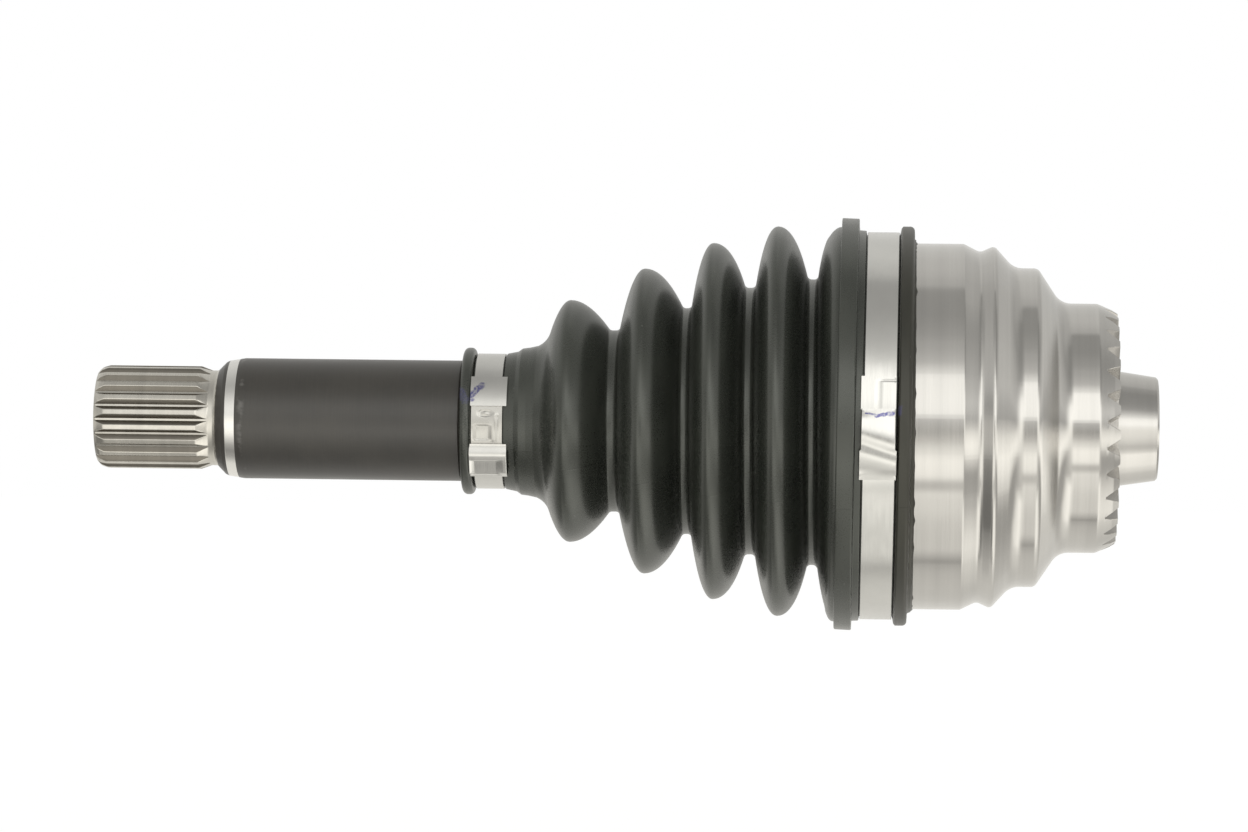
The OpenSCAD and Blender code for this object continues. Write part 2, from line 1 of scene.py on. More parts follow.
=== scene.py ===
"""Looks of a drive shaft with a ball-type constant-velocity joint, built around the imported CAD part.

+X runs along the shaft's axis towards the hub and +Z is up. Sizes are in millimetres until a mesh is made.
An angle about the axis is counted from the side that faces -Y, upwards, so 90 degrees is the top.
"""

import logging
import math
from collections.abc import Callable, Sequence
from dataclasses import dataclass, field
from enum import Enum

import bmesh
import bpy
import numpy as np
from mathutils import Matrix


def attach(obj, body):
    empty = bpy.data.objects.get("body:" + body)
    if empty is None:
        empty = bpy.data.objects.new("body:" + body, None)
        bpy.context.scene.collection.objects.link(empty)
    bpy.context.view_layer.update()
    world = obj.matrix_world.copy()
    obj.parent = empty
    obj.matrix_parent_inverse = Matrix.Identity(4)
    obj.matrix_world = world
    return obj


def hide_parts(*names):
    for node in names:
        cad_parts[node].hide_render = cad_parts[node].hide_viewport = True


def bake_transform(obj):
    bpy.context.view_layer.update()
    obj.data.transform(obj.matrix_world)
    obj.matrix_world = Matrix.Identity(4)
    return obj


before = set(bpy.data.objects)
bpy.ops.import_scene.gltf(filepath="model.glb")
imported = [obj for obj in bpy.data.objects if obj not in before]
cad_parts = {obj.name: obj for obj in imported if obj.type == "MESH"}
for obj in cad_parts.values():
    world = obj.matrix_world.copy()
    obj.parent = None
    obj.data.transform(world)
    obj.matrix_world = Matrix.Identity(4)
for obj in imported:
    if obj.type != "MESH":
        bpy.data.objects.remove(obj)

LOG = logging.getLogger("drive_shaft")
MM = 0.001
PER_MM = (1 / MM, 1 / MM, 1 / MM)
FULL_TURN = 2 * math.pi
WELD = 2e-7
SPECK = 1e-7

Array = np.ndarray
Corner = tuple[float, ...]
Along = float | Array
Relief = Callable[[Array, Array], Array]
Socket = bpy.types.NodeSocket


class Body(Enum):
    """The CAD bodies that the new pieces ride on."""

    HOUSING = "housing"
    SHAFT = "shaft"


class Slot(Enum):
    """Names of the record's material slots; no piece in this script is given one."""

    TURNED = "turned_steel"
    RUBBER = "boot_rubber"
    CLAMP = "clamp_steel"
    COATED = "coated_steel"


# Lines and surfaces


def rounded(corners: Sequence[Corner], step: float = 8.0) -> Array:
    """Rounds the corners of a line, each with an arc that touches both of its neighbours' stretches.

    The arc's centre lies on the bisector, at radius / sin(half angle) from the corner.

    Args:
        corners: (x, radius) or (x, radius, rounding) for each corner.
        step: the largest turn between two points of an arc, in degrees.

    Returns:
        The points of the line, one row each.
    """
    line: list[Array] = []
    for i, corner in enumerate(corners):
        here = np.array(corner[:2], float)
        if len(corner) < 3 or corner[2] <= 0 or i in (0, len(corners) - 1):
            line.append(here)
            continue
        back = np.array(corners[i - 1][:2], float) - here
        ahead = np.array(corners[i + 1][:2], float) - here
        back, ahead = back / np.linalg.norm(back), ahead / np.linalg.norm(ahead)
        half = math.acos(max(-1.0, min(1.0, float(back @ ahead)))) / 2
        middle = here + (back + ahead) / np.linalg.norm(back + ahead) * corner[2] / math.sin(half)
        reach = corner[2] / math.tan(half)
        first, last = here + back * reach - middle, here + ahead * reach - middle
        start = math.atan2(first[1], first[0])
        turn = (math.atan2(last[1], last[0]) - start + math.pi) % FULL_TURN - math.pi
        count = max(2, math.ceil(abs(math.degrees(turn)) / step))
        angle = start + turn * np.arange(count + 1) / count
        line.extend(middle + corner[2] * np.stack([np.cos(angle), np.sin(angle)], 1))
    return np.array(line)


def refined(line: Array, longest: float = 8.0, edge: float = 0.25) -> Array:
    """Cuts long stretches of a line, with a short piece at both ends that keeps the shading of a flat face flat.

    Args:
        line: points, one row each.
        longest: the longest piece left.
        edge: the length of the short pieces.

    Returns:
        The line with the added points.
    """
    parts: list[Array] = []
    for a, b in zip(line[:-1], line[1:]):
        length = float(np.linalg.norm(b - a))
        if length < 4 * edge:
            share = np.array([0.0])
        else:
            count = max(1, math.ceil((length - 2 * edge) / longest))
            share = np.concatenate([[0.0], np.linspace(edge, length - edge, count + 1) / length])
        parts.append(a + share[:, None] * (b - a))
    parts.append(line[-1:])
    return np.concatenate(parts)


def inward(corners: Sequence[Corner], wall: float) -> list[Corner]:
    """Moves a line of corners sideways by a wall's thickness, along the mitre of each corner.

    A corner moves by wall * (n1 + n2) / (1 + n1.n2), where n1 and n2 are the normals of its two stretches.

    Args:
        corners: (x, radius, rounding) for each corner, left to right.
        wall: how far the line moves towards the axis.

    Returns:
        The corners of the inner line, with their roundings fitted to it.
    """
    moved: list[Corner] = []
    points = [np.array(c[:2], float) for c in corners]
    for i, corner in enumerate(corners):
        before = points[i] - points[i - 1] if i else points[1] - points[0]
        after = points[i + 1] - points[i] if i < len(points) - 1 else before
        before, after = before / np.linalg.norm(before), after / np.linalg.norm(after)
        n1, n2 = np.array([before[1], -before[0]]), np.array([after[1], -after[0]])
        spot = points[i] + wall * (n1 + n2) / (1 + n1 @ n2)
        rounding = corner[2] if len(corner) > 2 else 0.0
        hollow = before[0] * after[1] - before[1] * after[0] > 0
        if rounding > 0:
            rounding = rounding + wall if hollow else max(wall / 10, rounding - wall)
        moved.append((float(spot[0]), float(spot[1]), rounding))
    return moved


def ring(x: Array, radius: Array, angle: Array) -> Array:
    """Places points about the axis: y = -radius * cos(angle), z = radius * sin(angle).

    Args:
        x: places along the axis.
        radius: distances from the axis.
        angle: angles about the axis, in radians.

    Returns:
        The points, with the coordinates in the last dimension.
    """
    x, radius, angle = np.broadcast_arrays(x, radius, angle)
    return np.stack([x, -radius * np.cos(angle), radius * np.sin(angle)], -1)


def smooth(value: Array) -> Array:
    """Returns 3v^2 - 2v^3 of a value held between 0 and 1."""
    held = np.clip(value, 0, 1)
    return held * held * (3 - 2 * held)


def hump(value: Array, middle: Along, width: float) -> Array:
    """Returns a bell curve of a value: exp(-((value - middle) / width)^2)."""
    return np.exp(-(((value - middle) / width) ** 2))


def nearest(angle: Array, pitch: float) -> Array:
    """Returns angles counted from the nearest whole number of pitches, so between -pitch / 2 and pitch / 2."""
    return (angle + pitch / 2) % pitch - pitch / 2


def repeated(cells: Array, first: float, count: int) -> Array:
    """Repeats each row's angles around the axis, with the first set's middle at an angle in radians."""
    middles = first + FULL_TURN / count * np.arange(count)
    return (middles[None, :, None] + cells[:, None, :]).reshape(cells.shape[0], -1)


def turned(line: Array, angle: Array) -> tuple[Array, Array]:
    """Returns the x and the radius of a turned line's points at every angle."""
    x, radius, _ = np.broadcast_arrays(line[:, :1], line[:, 1:], angle)
    return x, radius


def fan(first: float, last: float, count: int) -> Array:
    """Returns evenly spaced angles in radians, from the first to the last one, which are given in degrees."""
    return np.radians(np.linspace(first, last, count))


def wobble(angle: Array, seed: int, lowest: int, highest: int) -> Array:
    """Returns an irregular closed wave about the axis: a sum of sines with seeded sizes and phases.

    Args:
        angle: angles about the axis, in radians.
        seed: picks the wave.
        lowest: the fewest waves in a turn.
        highest: the most waves in a turn.

    Returns:
        The wave at each angle, mostly between -1 and 1.
    """
    dice = np.random.default_rng(seed)
    count = np.arange(lowest, highest + 1)
    size, phase = dice.normal(size=count.size), dice.uniform(0, FULL_TURN, count.size)
    waves = np.sin(angle[..., None] * count + phase) * size
    return waves.sum(-1) / math.sqrt(count.size)


@dataclass
class Patch:
    """A grid of points that becomes a stretch of surface. Rows run along it and columns around it.

    Going along the rows and then around the columns turns to the left as seen from outside.
    """

    points: Array
    closed_rows: bool = False
    closed_columns: bool = True
    finish: Array = field(default_factory=lambda: np.zeros(1, int))

    def steps(self) -> tuple[int, int]:
        """Returns how many faces the grid has along its rows and around its columns."""
        rows, columns = self.points.shape[:2]
        return rows - (not self.closed_rows), columns - (not self.closed_columns)

    def quads(self, first: int) -> Array:
        """Returns the corner numbers of every face, counted from the number of the grid's first point."""
        rows, columns = self.points.shape[:2]
        along, around = self.steps()
        i, j = np.meshgrid(np.arange(along), np.arange(around), indexing="ij")
        nxt_i, nxt_j = (i + 1) % rows, (j + 1) % columns
        corners = np.stack([i * columns + j, nxt_i * columns + j, nxt_i * columns + nxt_j, i * columns + nxt_j], -1)
        return corners.reshape(-1, 4) + first

    def lengths(self, axis: int) -> Array:
        """Returns the mean distance covered from the first row or column to each one, and back to the first."""
        whole = np.concatenate([self.points, self.points.take([0], axis=axis)], axis)
        piece = np.linalg.norm(np.diff(whole, axis=axis), axis=-1).mean(axis=1 - axis)
        return np.concatenate([[0.0], np.cumsum(piece)])

    def texture(self) -> Array:
        """Returns each face corner's texture place: metres along the rows, metres around the columns."""
        along, around = self.steps()
        i, j = np.meshgrid(np.arange(along), np.arange(around), indexing="ij")
        u, v = self.lengths(0), self.lengths(1)
        places = [(u[i], v[j]), (u[i + 1], v[j]), (u[i + 1], v[j + 1]), (u[i], v[j + 1])]
        return np.stack([np.stack(p, -1) for p in places], 2).reshape(-1, 2) * MM

    def finishes(self) -> Array:
        """Returns the number of each face's finish, from one number, one for each row, or one for each point."""
        along, around = self.steps()
        finish = self.finish if self.finish.ndim == 2 else self.finish[:, None]
        return np.broadcast_to(finish[:along, :around], (along, around)).reshape(-1)


def build(
    name: str, patches: Sequence[Patch], finishes: Sequence[bpy.types.Material], crease: float = 30.0
) -> bpy.types.Object:
    """Joins patches into one mesh object whose seams are welded and whose edges above an angle are sharp.

    Args:
        name: the piece's name.
        patches: the grids of its surface.
        finishes: its materials, in the order of the patches' finish numbers.
        crease: the angle above which an edge is sharp, in degrees.

    Returns:
        The object, at the origin, with its place in its mesh.
    """
    firsts = np.cumsum([0] + [p.points.shape[0] * p.points.shape[1] for p in patches])
    points = np.concatenate([p.points.reshape(-1, 3) for p in patches]) * MM
    quads = np.concatenate([p.quads(int(f)) for p, f in zip(patches, firsts)])
    mesh = bpy.data.meshes.new(name)
    mesh.from_pydata(points.tolist(), [], quads.tolist())
    layer = mesh.uv_layers.new(name="surface")
    layer.data.foreach_set("uv", np.concatenate([p.texture() for p in patches]).astype(np.float32).ravel())
    for finish in finishes:
        mesh.materials.append(finish)
    mesh.polygons.foreach_set("material_index", np.concatenate([p.finishes() for p in patches]).astype(np.int32))
    work = bmesh.new()
    work.from_mesh(mesh)
    bmesh.ops.remove_doubles(work, verts=work.verts, dist=WELD)
    bmesh.ops.dissolve_degenerate(work, edges=work.edges, dist=SPECK)
    open_edges = sum(1 for e in work.edges if not e.is_manifold)
    volume = work.calc_volume(signed=True)
    work.to_mesh(mesh)
    work.free()
    mesh.shade_smooth()
    mesh.set_sharp_from_angle(angle=math.radians(crease))
    mesh.update()
    obj = bpy.data.objects.new(name, mesh)
    bpy.context.scene.collection.objects.link(obj)
    LOG.info("%s: %d faces, %d open edges, %.1f cm3", name, len(mesh.polygons), open_edges, volume * 1e6)
    return obj


# Finishes


class Recipe:
    """One material's node tree, built through short methods that return output sockets."""

    def __init__(self, name: str) -> None:
        """Starts an empty material."""
        self.material = bpy.data.materials.new(name)
        self.material.use_nodes = True
        self.tree = self.material.node_tree
        self.tree.nodes.clear()

    def add(self, kind: str, inputs: dict | None = None, **settings: object) -> bpy.types.Node:
        """Adds a node.

        Args:
            kind: the node's type name.
            inputs: input name or number to a socket, which is linked, or to a value, which is set.
            settings: the node's own settings.

        Returns:
            The node.
        """
        node = self.tree.nodes.new(kind)
        for key, value in settings.items():
            setattr(node, key, value)
        for key, value in (inputs or {}).items():
            if isinstance(value, Socket):
                self.tree.links.new(value, node.inputs[key])
            else:
                node.inputs[key].default_value = value
        return node

    def place(self, scale: Corner = (1, 1, 1), surface: bool = False) -> Socket:
        """Returns object coordinates, or the place on the surface, in metres times a scale."""
        if surface:
            source = self.add("ShaderNodeUVMap", uv_map="surface").outputs["UV"]
        else:
            source = self.add("ShaderNodeTexCoord").outputs["Object"]
        return self.add("ShaderNodeMapping", {"Vector": source, "Scale": scale}).outputs["Vector"]

    def noise(self, place: Socket, scale: float, detail: float = 2.0, rough: float = 0.5) -> Socket:
        """Returns a noise pattern between about 0.2 and 0.8, of the given scale."""
        inputs = {"Vector": place, "Scale": scale, "Detail": detail, "Roughness": rough}
        return self.add("ShaderNodeTexNoise", inputs).outputs["Fac"]

    def span(self, value: Socket, low: float, high: float, to_low: float = 0.0, to_high: float = 1.0) -> Socket:
        """Returns the value with low..high laid onto to_low..to_high and held there."""
        names = ("Value", "From Min", "From Max", "To Min", "To Max")
        node = self.add("ShaderNodeMapRange", dict(zip(names, (value, low, high, to_low, to_high))))
        return node.outputs["Result"]

    def math(self, operation: str, a: object, b: object = 0.0, c: object = 0.0) -> Socket:
        """Returns the result of a math node on up to three sockets or numbers."""
        return self.add("ShaderNodeMath", {0: a, 1: b, 2: c}, operation=operation).outputs[0]

    def vector(self, operation: str, a: object, b: object = (0, 0, 0), result: str = "Vector") -> Socket:
        """Returns the result of a vector math node on two sockets or vectors."""
        return self.add("ShaderNodeVectorMath", {0: a, 1: b}, operation=operation).outputs[result]

    def mix(self, share: object, first: object, second: object) -> Socket:
        """Returns two colours mixed by a share."""
        node = self.add("ShaderNodeMix", {0: share, 6: first, 7: second}, data_type="RGBA")
        return node.outputs[2]

    def bump(self, height: Socket, depth: float, strength: float = 1.0, under: Socket | None = None) -> Socket:
        """Returns a normal bumped by a height pattern, whose full step is depth metres."""
        inputs: dict = {"Height": height, "Distance": depth, "Strength": strength}
        if under is not None:
            inputs["Normal"] = under
        return self.add("ShaderNodeBump", inputs).outputs["Normal"]

    def stroke(self, start: tuple[float, float], end: tuple[float, float], width: float) -> Socket:
        """Returns a mask of a pen stroke on the side that faces -Y.

        The mask is 1 where the distance to the stretch between two (x, z) places is less than half the width:
        |p - b * clamp(p.b / b.b)| for p counted from the start and b the stretch. Noise breaks up its edge.

        Args:
            start: x and z of the stroke's start, in millimetres.
            end: x and z of its end.
            width: the stroke's width.

        Returns:
            The mask.
        """
        flat = self.place((1 / MM, 0, 1 / MM))
        ragged = self.noise(self.place(PER_MM), 1.1, 3.0)
        p = self.vector("SUBTRACT", flat, (start[0], 0, start[1]))
        b = np.array([end[0] - start[0], 0, end[1] - start[1]])
        share = self.vector("DOT_PRODUCT", p, tuple(b / (b @ b)), "Value")
        held = self.add("ShaderNodeClamp", {"Value": share}).outputs[0]
        along = self.add("ShaderNodeVectorMath", {0: tuple(b), "Scale": held}, operation="SCALE").outputs["Vector"]
        gap = self.vector("LENGTH", self.vector("SUBTRACT", p, along), result="Value")
        edge = self.math("MULTIPLY_ADD", ragged, width * 0.9, gap)
        near = self.span(edge, width * 0.8, width * 1.05, 1.0, 0.0)
        side = self.add("ShaderNodeSeparateXYZ", {0: self.place()}).outputs["Y"]
        return self.math("MULTIPLY", near, self.math("LESS_THAN", side, 0.0))

    def steel_tangent(self) -> Socket:
        """Returns the direction along the rows of the surface, across the lines of a turned face."""
        return self.add("ShaderNodeTangent", direction_type="UV_MAP", uv_map="surface").outputs[0]

    def finish(self, **inputs: object) -> bpy.types.Material:
        """Closes the tree with a Principled shader; an input's name has _ for each space."""
        values = {key.replace("_", " "): value for key, value in inputs.items()}
        shader = self.add("ShaderNodeBsdfPrincipled", values)
        self.add("ShaderNodeOutputMaterial", {"Surface": shader.outputs[0]})
        return self.material


INK = (0.06, 0.06, 0.25, 1.0)


@dataclass(frozen=True)
class Stroke:
    """A stroke of marker ink: where it starts and ends on the front, as (x, z), and its width."""

    start: tuple[float, float]
    end: tuple[float, float]
    width: float


def shaded(colour: Corner, share: float) -> Corner:
    """Returns a colour darkened to a share of itself, opaque."""
    return tuple(c * share for c in colour[:3]) + (1,)


def inked(recipe: Recipe, colour: object, strokes: Sequence[Stroke], cover: float) -> Socket:
    """Lays ink strokes over a colour.

    Args:
        recipe: the material's recipe.
        colour: the colour under the ink.
        strokes: the strokes.
        cover: how much the ink hides.

    Returns:
        The colour with the ink.
    """
    mask: Socket | None = None
    for stroke in strokes:
        one = recipe.stroke(stroke.start, stroke.end, stroke.width)
        mask = one if mask is None else recipe.math("MAXIMUM", mask, one)
    patchy = recipe.span(recipe.noise(recipe.place(PER_MM), 1.7, 2.0), 0.38, 0.58, 0.45 * cover, cover)
    return recipe.mix(recipe.math("MULTIPLY", mask, patchy), colour, INK)


@dataclass(frozen=True)
class TurnedSteel:
    """Bare steel from the lathe: fine lines around the axis that spread its reflections along the axis."""

    name: str = "turned steel"
    colour: Corner = (0.56, 0.548, 0.525)
    roughness: float = 0.17
    spread: float = 0.75
    line_depth: float = 1.2e-6
    stain: float = 0.05

    def material(self) -> bpy.types.Material:
        """Returns the finish as a material."""
        r = Recipe(self.name)
        across = r.place((1, 0.012, 1), surface=True)
        lines = r.noise(across, 5200, 3.0, 0.7)
        bands = r.noise(across, 420, 2.0)
        cloud = r.noise(r.place(), 38, 3.0)
        tone = r.span(r.math("ADD", bands, cloud), 0.75, 1.25, 1 - self.stain, 1 + self.stain)
        grey = r.add("ShaderNodeCombineXYZ", {0: tone, 1: tone, 2: tone}).outputs[0]
        base = r.vector("MULTIPLY", self.colour[:3], grey)
        rough = r.span(r.math("ADD", lines, cloud), 0.7, 1.3, self.roughness - 0.05, self.roughness + 0.05)
        return r.finish(
            Base_Color=base,
            Metallic=1.0,
            Roughness=rough,
            Anisotropic=self.spread,
            Tangent=r.steel_tangent(),
            Normal=r.bump(lines, self.line_depth),
        )


@dataclass(frozen=True)
class CoatedSteel:
    """Steel with a dark phosphate coating: dull, slightly mottled, with faint lines of the turned bar under it."""

    name: str = "phosphate coating"
    colour: Corner = (0.034, 0.031, 0.0265, 1)
    pale: Corner = (0.05, 0.0455, 0.038, 1)
    roughness: float = 0.34
    worn_x: float = -217.4
    bare: Corner = (0.22, 0.215, 0.2, 1)

    def material(self) -> bpy.types.Material:
        """Returns the finish as a material."""
        r = Recipe(self.name)
        lines = r.noise(r.place((1, 0.02, 1), surface=True), 2600, 3.0, 0.6)
        cloud = r.noise(r.place(), 55, 4.0, 0.6)
        grain = r.noise(r.place(), 2400, 2.0)
        mixed = r.math("MULTIPLY_ADD", lines, 0.35, cloud)
        base = r.mix(r.span(mixed, 0.5, 0.85), self.colour, self.pale)
        along = r.add("ShaderNodeSeparateXYZ", {0: r.place()}).outputs["X"]
        away = r.math("ABSOLUTE", r.math("SUBTRACT", along, self.worn_x * MM))
        spots = r.span(r.noise(r.place(), 420, 4.0), 0.52, 0.66, 0.0, 0.5)
        worn = r.math("MULTIPLY", r.span(away, 0.0003, 0.0012, 1.0, 0.0), spots)
        base = r.mix(worn, base, self.bare)
        rough = r.span(cloud, 0.3, 0.7, self.roughness - 0.04, self.roughness + 0.04)
        fine = r.bump(grain, 6e-6, 0.7)
        return r.finish(Base_Color=base, Roughness=rough, Specular_IOR_Level=0.8, Normal=r.bump(lines, 6e-7, 1.0, fine))


@dataclass(frozen=True)
class Rubber:
    """Moulded rubber: near black, smooth from the mould, with a faint bloom, a parting line and a few scuffs."""

    name: str = "boot rubber"
    colour: Corner = (0.026, 0.0285, 0.024, 1)
    bloom: Corner = (0.042, 0.0455, 0.038, 1)
    tint: Corner = (0.97, 1.0, 0.94, 1)
    roughness: float = 0.28
    seam_at: float = -23.0
    level: float = 0.95
    strokes: tuple[Stroke, ...] = ()
    seam_colour: Corner = (0.006, 0.007, 0.005, 1)
    seam_w: float = 0.00022
    seam_drift: float = 0.0012
    scuff_colour: Corner = (0.16, 0.16, 0.15, 1)

    def material(self) -> bpy.types.Material:
        """Returns the finish as a material."""
        r = Recipe(self.name)
        cloud = r.noise(r.place(), 45, 4.0, 0.6)
        flow = r.noise(r.place((1, 0.25, 1), surface=True), 260, 3.0)
        grain = r.noise(r.place(), 3000, 2.0)
        base = r.mix(r.span(r.math("ADD", cloud, flow), 0.8, 1.35), self.colour, self.bloom)
        if self.strokes:
            base = inked(r, base, self.strokes, 0.4)
        rough = r.span(r.math("ADD", cloud, grain), 0.7, 1.3, self.roughness - 0.05, self.roughness + 0.07)
        turn = math.radians(self.seam_at)
        off = r.vector("DOT_PRODUCT", r.place(), (0.0, math.sin(turn), math.cos(turn)), "Value")
        drift = r.math("MULTIPLY", r.math("SUBTRACT", cloud, 0.5), self.seam_drift)
        seam = r.span(r.math("ABSOLUTE", r.math("ADD", off, drift)), 0.0, self.seam_w, 1.0, 0.0)
        base = r.mix(r.math("MULTIPLY", seam, r.span(flow, 0.42, 0.6, 0.0, 0.75)), base, self.seam_colour)
        scuff = r.span(r.noise(r.place((1, 0.4, 1), surface=True), 900, 2.0), 0.735, 0.76, 0.0, 0.5)
        base = r.mix(scuff, base, self.scuff_colour)
        fine = r.bump(grain, 8e-6, 0.6)
        inputs = {"Base_Color": base, "Roughness": rough, "Specular_IOR_Level": self.level, "Specular_Tint": self.tint}
        return r.finish(Normal=r.bump(seam, 3e-5, 0.8, fine), **inputs)


@dataclass(frozen=True)
class StrapSteel:
    """Bright rolled strap: smooth, with faint rolling lines along the strap."""

    name: str = "strap steel"
    colour: Corner = (0.66, 0.655, 0.63, 1)
    roughness: float = 0.2
    strokes: tuple[Stroke, ...] = ()

    def material(self) -> bpy.types.Material:
        """Returns the finish as a material."""
        r = Recipe(self.name)
        lines = r.noise(r.place((0.03, 1, 1), surface=True), 3600, 3.0, 0.6)
        cloud = r.noise(r.place(), 90, 3.0)
        dents = r.noise(r.place(), 210, 1.0)
        base: object = r.mix(r.span(cloud, 0.35, 0.65), self.colour, shaded(self.colour, 0.94))
        if self.strokes:
            base = inked(r, base, self.strokes, 0.85)
        rough = r.span(lines, 0.3, 0.7, self.roughness - 0.04, self.roughness + 0.05)
        soft = r.bump(dents, 2.5e-5, 1.0)
        return r.finish(Base_Color=base, Metallic=1.0, Roughness=rough, Normal=r.bump(lines, 1.0e-6, 1.0, soft))


@dataclass(frozen=True)
class GroundSteel:
    """Hardened steel that was ground or polished, for the pieces inside the joint."""

    name: str
    colour: Corner
    roughness: float
    grain: float = 1500.0
    depth: float = 1.5e-6

    def material(self) -> bpy.types.Material:
        """Returns the finish as a material."""
        r = Recipe(self.name)
        grain = r.noise(r.place(), self.grain, 3.0, 0.6)
        cloud = r.noise(r.place(), 60, 3.0)
        base = r.mix(r.span(cloud, 0.35, 0.65), self.colour, shaded(self.colour, 0.86))
        rough = r.span(r.math("ADD", grain, cloud), 0.7, 1.3, self.roughness * 0.8, self.roughness * 1.25)
        return r.finish(Base_Color=base, Metallic=1.0, Roughness=rough, Normal=r.bump(grain, self.depth))


# Sub-assemblies


@dataclass
class Bell:
    """The joint bell: a turned forging with ball tracks inside, face teeth, and a spigot with a threaded hole."""

    joint_x: float = -41.5
    mouth_x: float = -63.403
    mouth_r: float = 40.005
    seat_r: float = 44.605
    seat_end_x: float = -49.603
    bell_r: float = 45.955
    step_r: float = 40.005
    hub_r: float = 31.28
    teeth: int = 29
    tooth_h: float = 3.37
    flank: float = 60.0
    root_w: float = 0.5
    edge_w: float = 0.11
    least_depth: float = 0.25
    groove_at: float = math.pi / 2
    face_in_r: float = 21.5
    spigot_r: float = 14.7
    spigot_len: float = 12.0
    taper: float = 8.4
    hole_r: float = 7.25
    hole_end_x: float = -5.504
    drill_half: float = 59.0
    thread_pitch: float = 1.5
    thread_depth: float = 0.75
    hollow_r: float = 34.8
    floor_x: float = -13.5
    track_shift: float = 3.1
    track_r: float = 31.553
    tube_r: float = 9.775
    track_end_x: float = -14.6
    track_offsets: Array = field(default_factory=lambda: np.radians(np.arange(0, 360, 60)))

    @property
    def pitch(self) -> float:
        """The angle from one face tooth to the next."""
        return FULL_TURN / self.teeth

    @property
    def tilt(self) -> float:
        """The angle of a groove's floor against the face."""
        return math.atan(self.tooth_h / self.hub_r)

    @property
    def spread(self) -> float:
        """How far a flank moves sideways for each step of depth."""
        return math.tan(math.radians(self.flank / 2))

    def columns(self, x: Array, radius: Array) -> Array:
        """Finds the angles of the mesh columns, which follow the edges of the face teeth.

        At radius r a groove's root edge stands asin(root_w / 2 / r) from its middle, and its top edge asin(w / r),
        where w = root_w / 2 + deep * cos(tilt) * tan(flank / 2) and deep = x - top + r * tan(tilt).

        Args:
            x: the place of each row along the axis.
            radius: the radius of each row.

        Returns:
            Angles in radians, one row for each radius.
        """
        r = np.clip(radius, self.face_in_r, self.hub_r)
        root = np.arcsin(self.root_w / 2 / r)
        over = np.where(radius < self.face_in_r + 0.01, 0, np.minimum(x - self.tooth_h / 2, 0))
        deep = np.maximum(over + r * math.tan(self.tilt), self.least_depth) * math.cos(self.tilt)
        top = np.arcsin((self.root_w / 2 + deep * self.spread) / r)
        bevel, half = np.minimum(self.edge_w / r, (top - root) / 4), np.full_like(r, self.pitch / 2)
        right = [root, (root + top) / 2, top - bevel, top + bevel, (top + half) / 2]
        cells = np.stack([-half, *[-c for c in right[::-1]], *right], 1)
        return repeated(cells, self.groove_at, self.teeth)

    def teeth_cut(self, x: Array, radius: Array, angle: Array) -> Array:
        """Lowers the face where a groove runs: x = min(x, top - r * cos(d) * tan(tilt) + height of the flank).

        The flank's height at the distance |r * sin(d)| from the groove's middle is (|r * sin(d)| - root_w / 2) /
        tan(flank / 2), and d is the angle from the nearest groove's middle.

        Args:
            x: place of each point along the axis.
            radius: distance of each point from the axis.
            angle: angle of each point.

        Returns:
            The places with the grooves cut.
        """
        away = nearest(angle - self.groove_at, self.pitch)
        side = np.maximum(0, np.abs(radius * np.sin(away)) - self.root_w / 2)
        rise = side / self.spread / math.cos(self.tilt)
        groove = self.tooth_h / 2 - radius * np.cos(away) * math.tan(self.tilt) + rise
        return np.where(radius > self.face_in_r - 0.01, np.minimum(x, groove), x)

    def outside(self) -> Array:
        """Returns the turned outline from the mouth's inner edge over the hub and spigot to the bolt hole's thread."""
        j, b, h = self.joint_x, self.bell_r, self.hub_r
        top, recess = self.tooth_h / 2, -self.tooth_h / 2 - 0.4
        lean, end, spigot = math.tan(math.radians(self.taper)), self.spigot_len, self.spigot_r
        mouth, back, seat, inner = self.mouth_x, self.seat_end_x, self.seat_r, self.face_in_r
        body = rounded([
            (mouth, self.mouth_r),
            (mouth, seat - 0.9),
            (mouth + 0.9, seat),
            (back - 0.6, seat, 0.4),
            (back + 0.2, b - 0.3),
            (back + 0.5, b),
            (j + 4.6, b, 1.0),
            (j + 8.7, b - 2.05, 2.0),
            (j + 12.2, b - 0.45, 1.3),
            (j + 17.2, self.step_r, 5.0),
            (j + 23.2, self.step_r, 1.8),
            (j + 29.0, h, 5.0),
            (-self.tooth_h, h, 1.6),
            (top - 1.5, h - 1.5, 1.5),
            (top, h - 2.4),
            (top, inner),
            (recess, inner - 0.6),
            (recess, spigot + 0.9, 1.0),
            (recess + 1.6, spigot - recess * lean - 0.2),
            (end - 0.5, spigot - (end - 0.5) * lean),
            (end, spigot - 0.4 - end * lean),
            (end, self.hole_r + 1.6),
        ])
        line = refined(body, 6.0)
        near = np.flatnonzero((line[:, 0] > -2.3) & (line[:, 1] > h - 2.45))
        first, last = near[0] - 1, near[-1]
        return np.concatenate([line[:first], refined(line[first : last + 1], 0.35, 0.05), line[last + 1 :]])

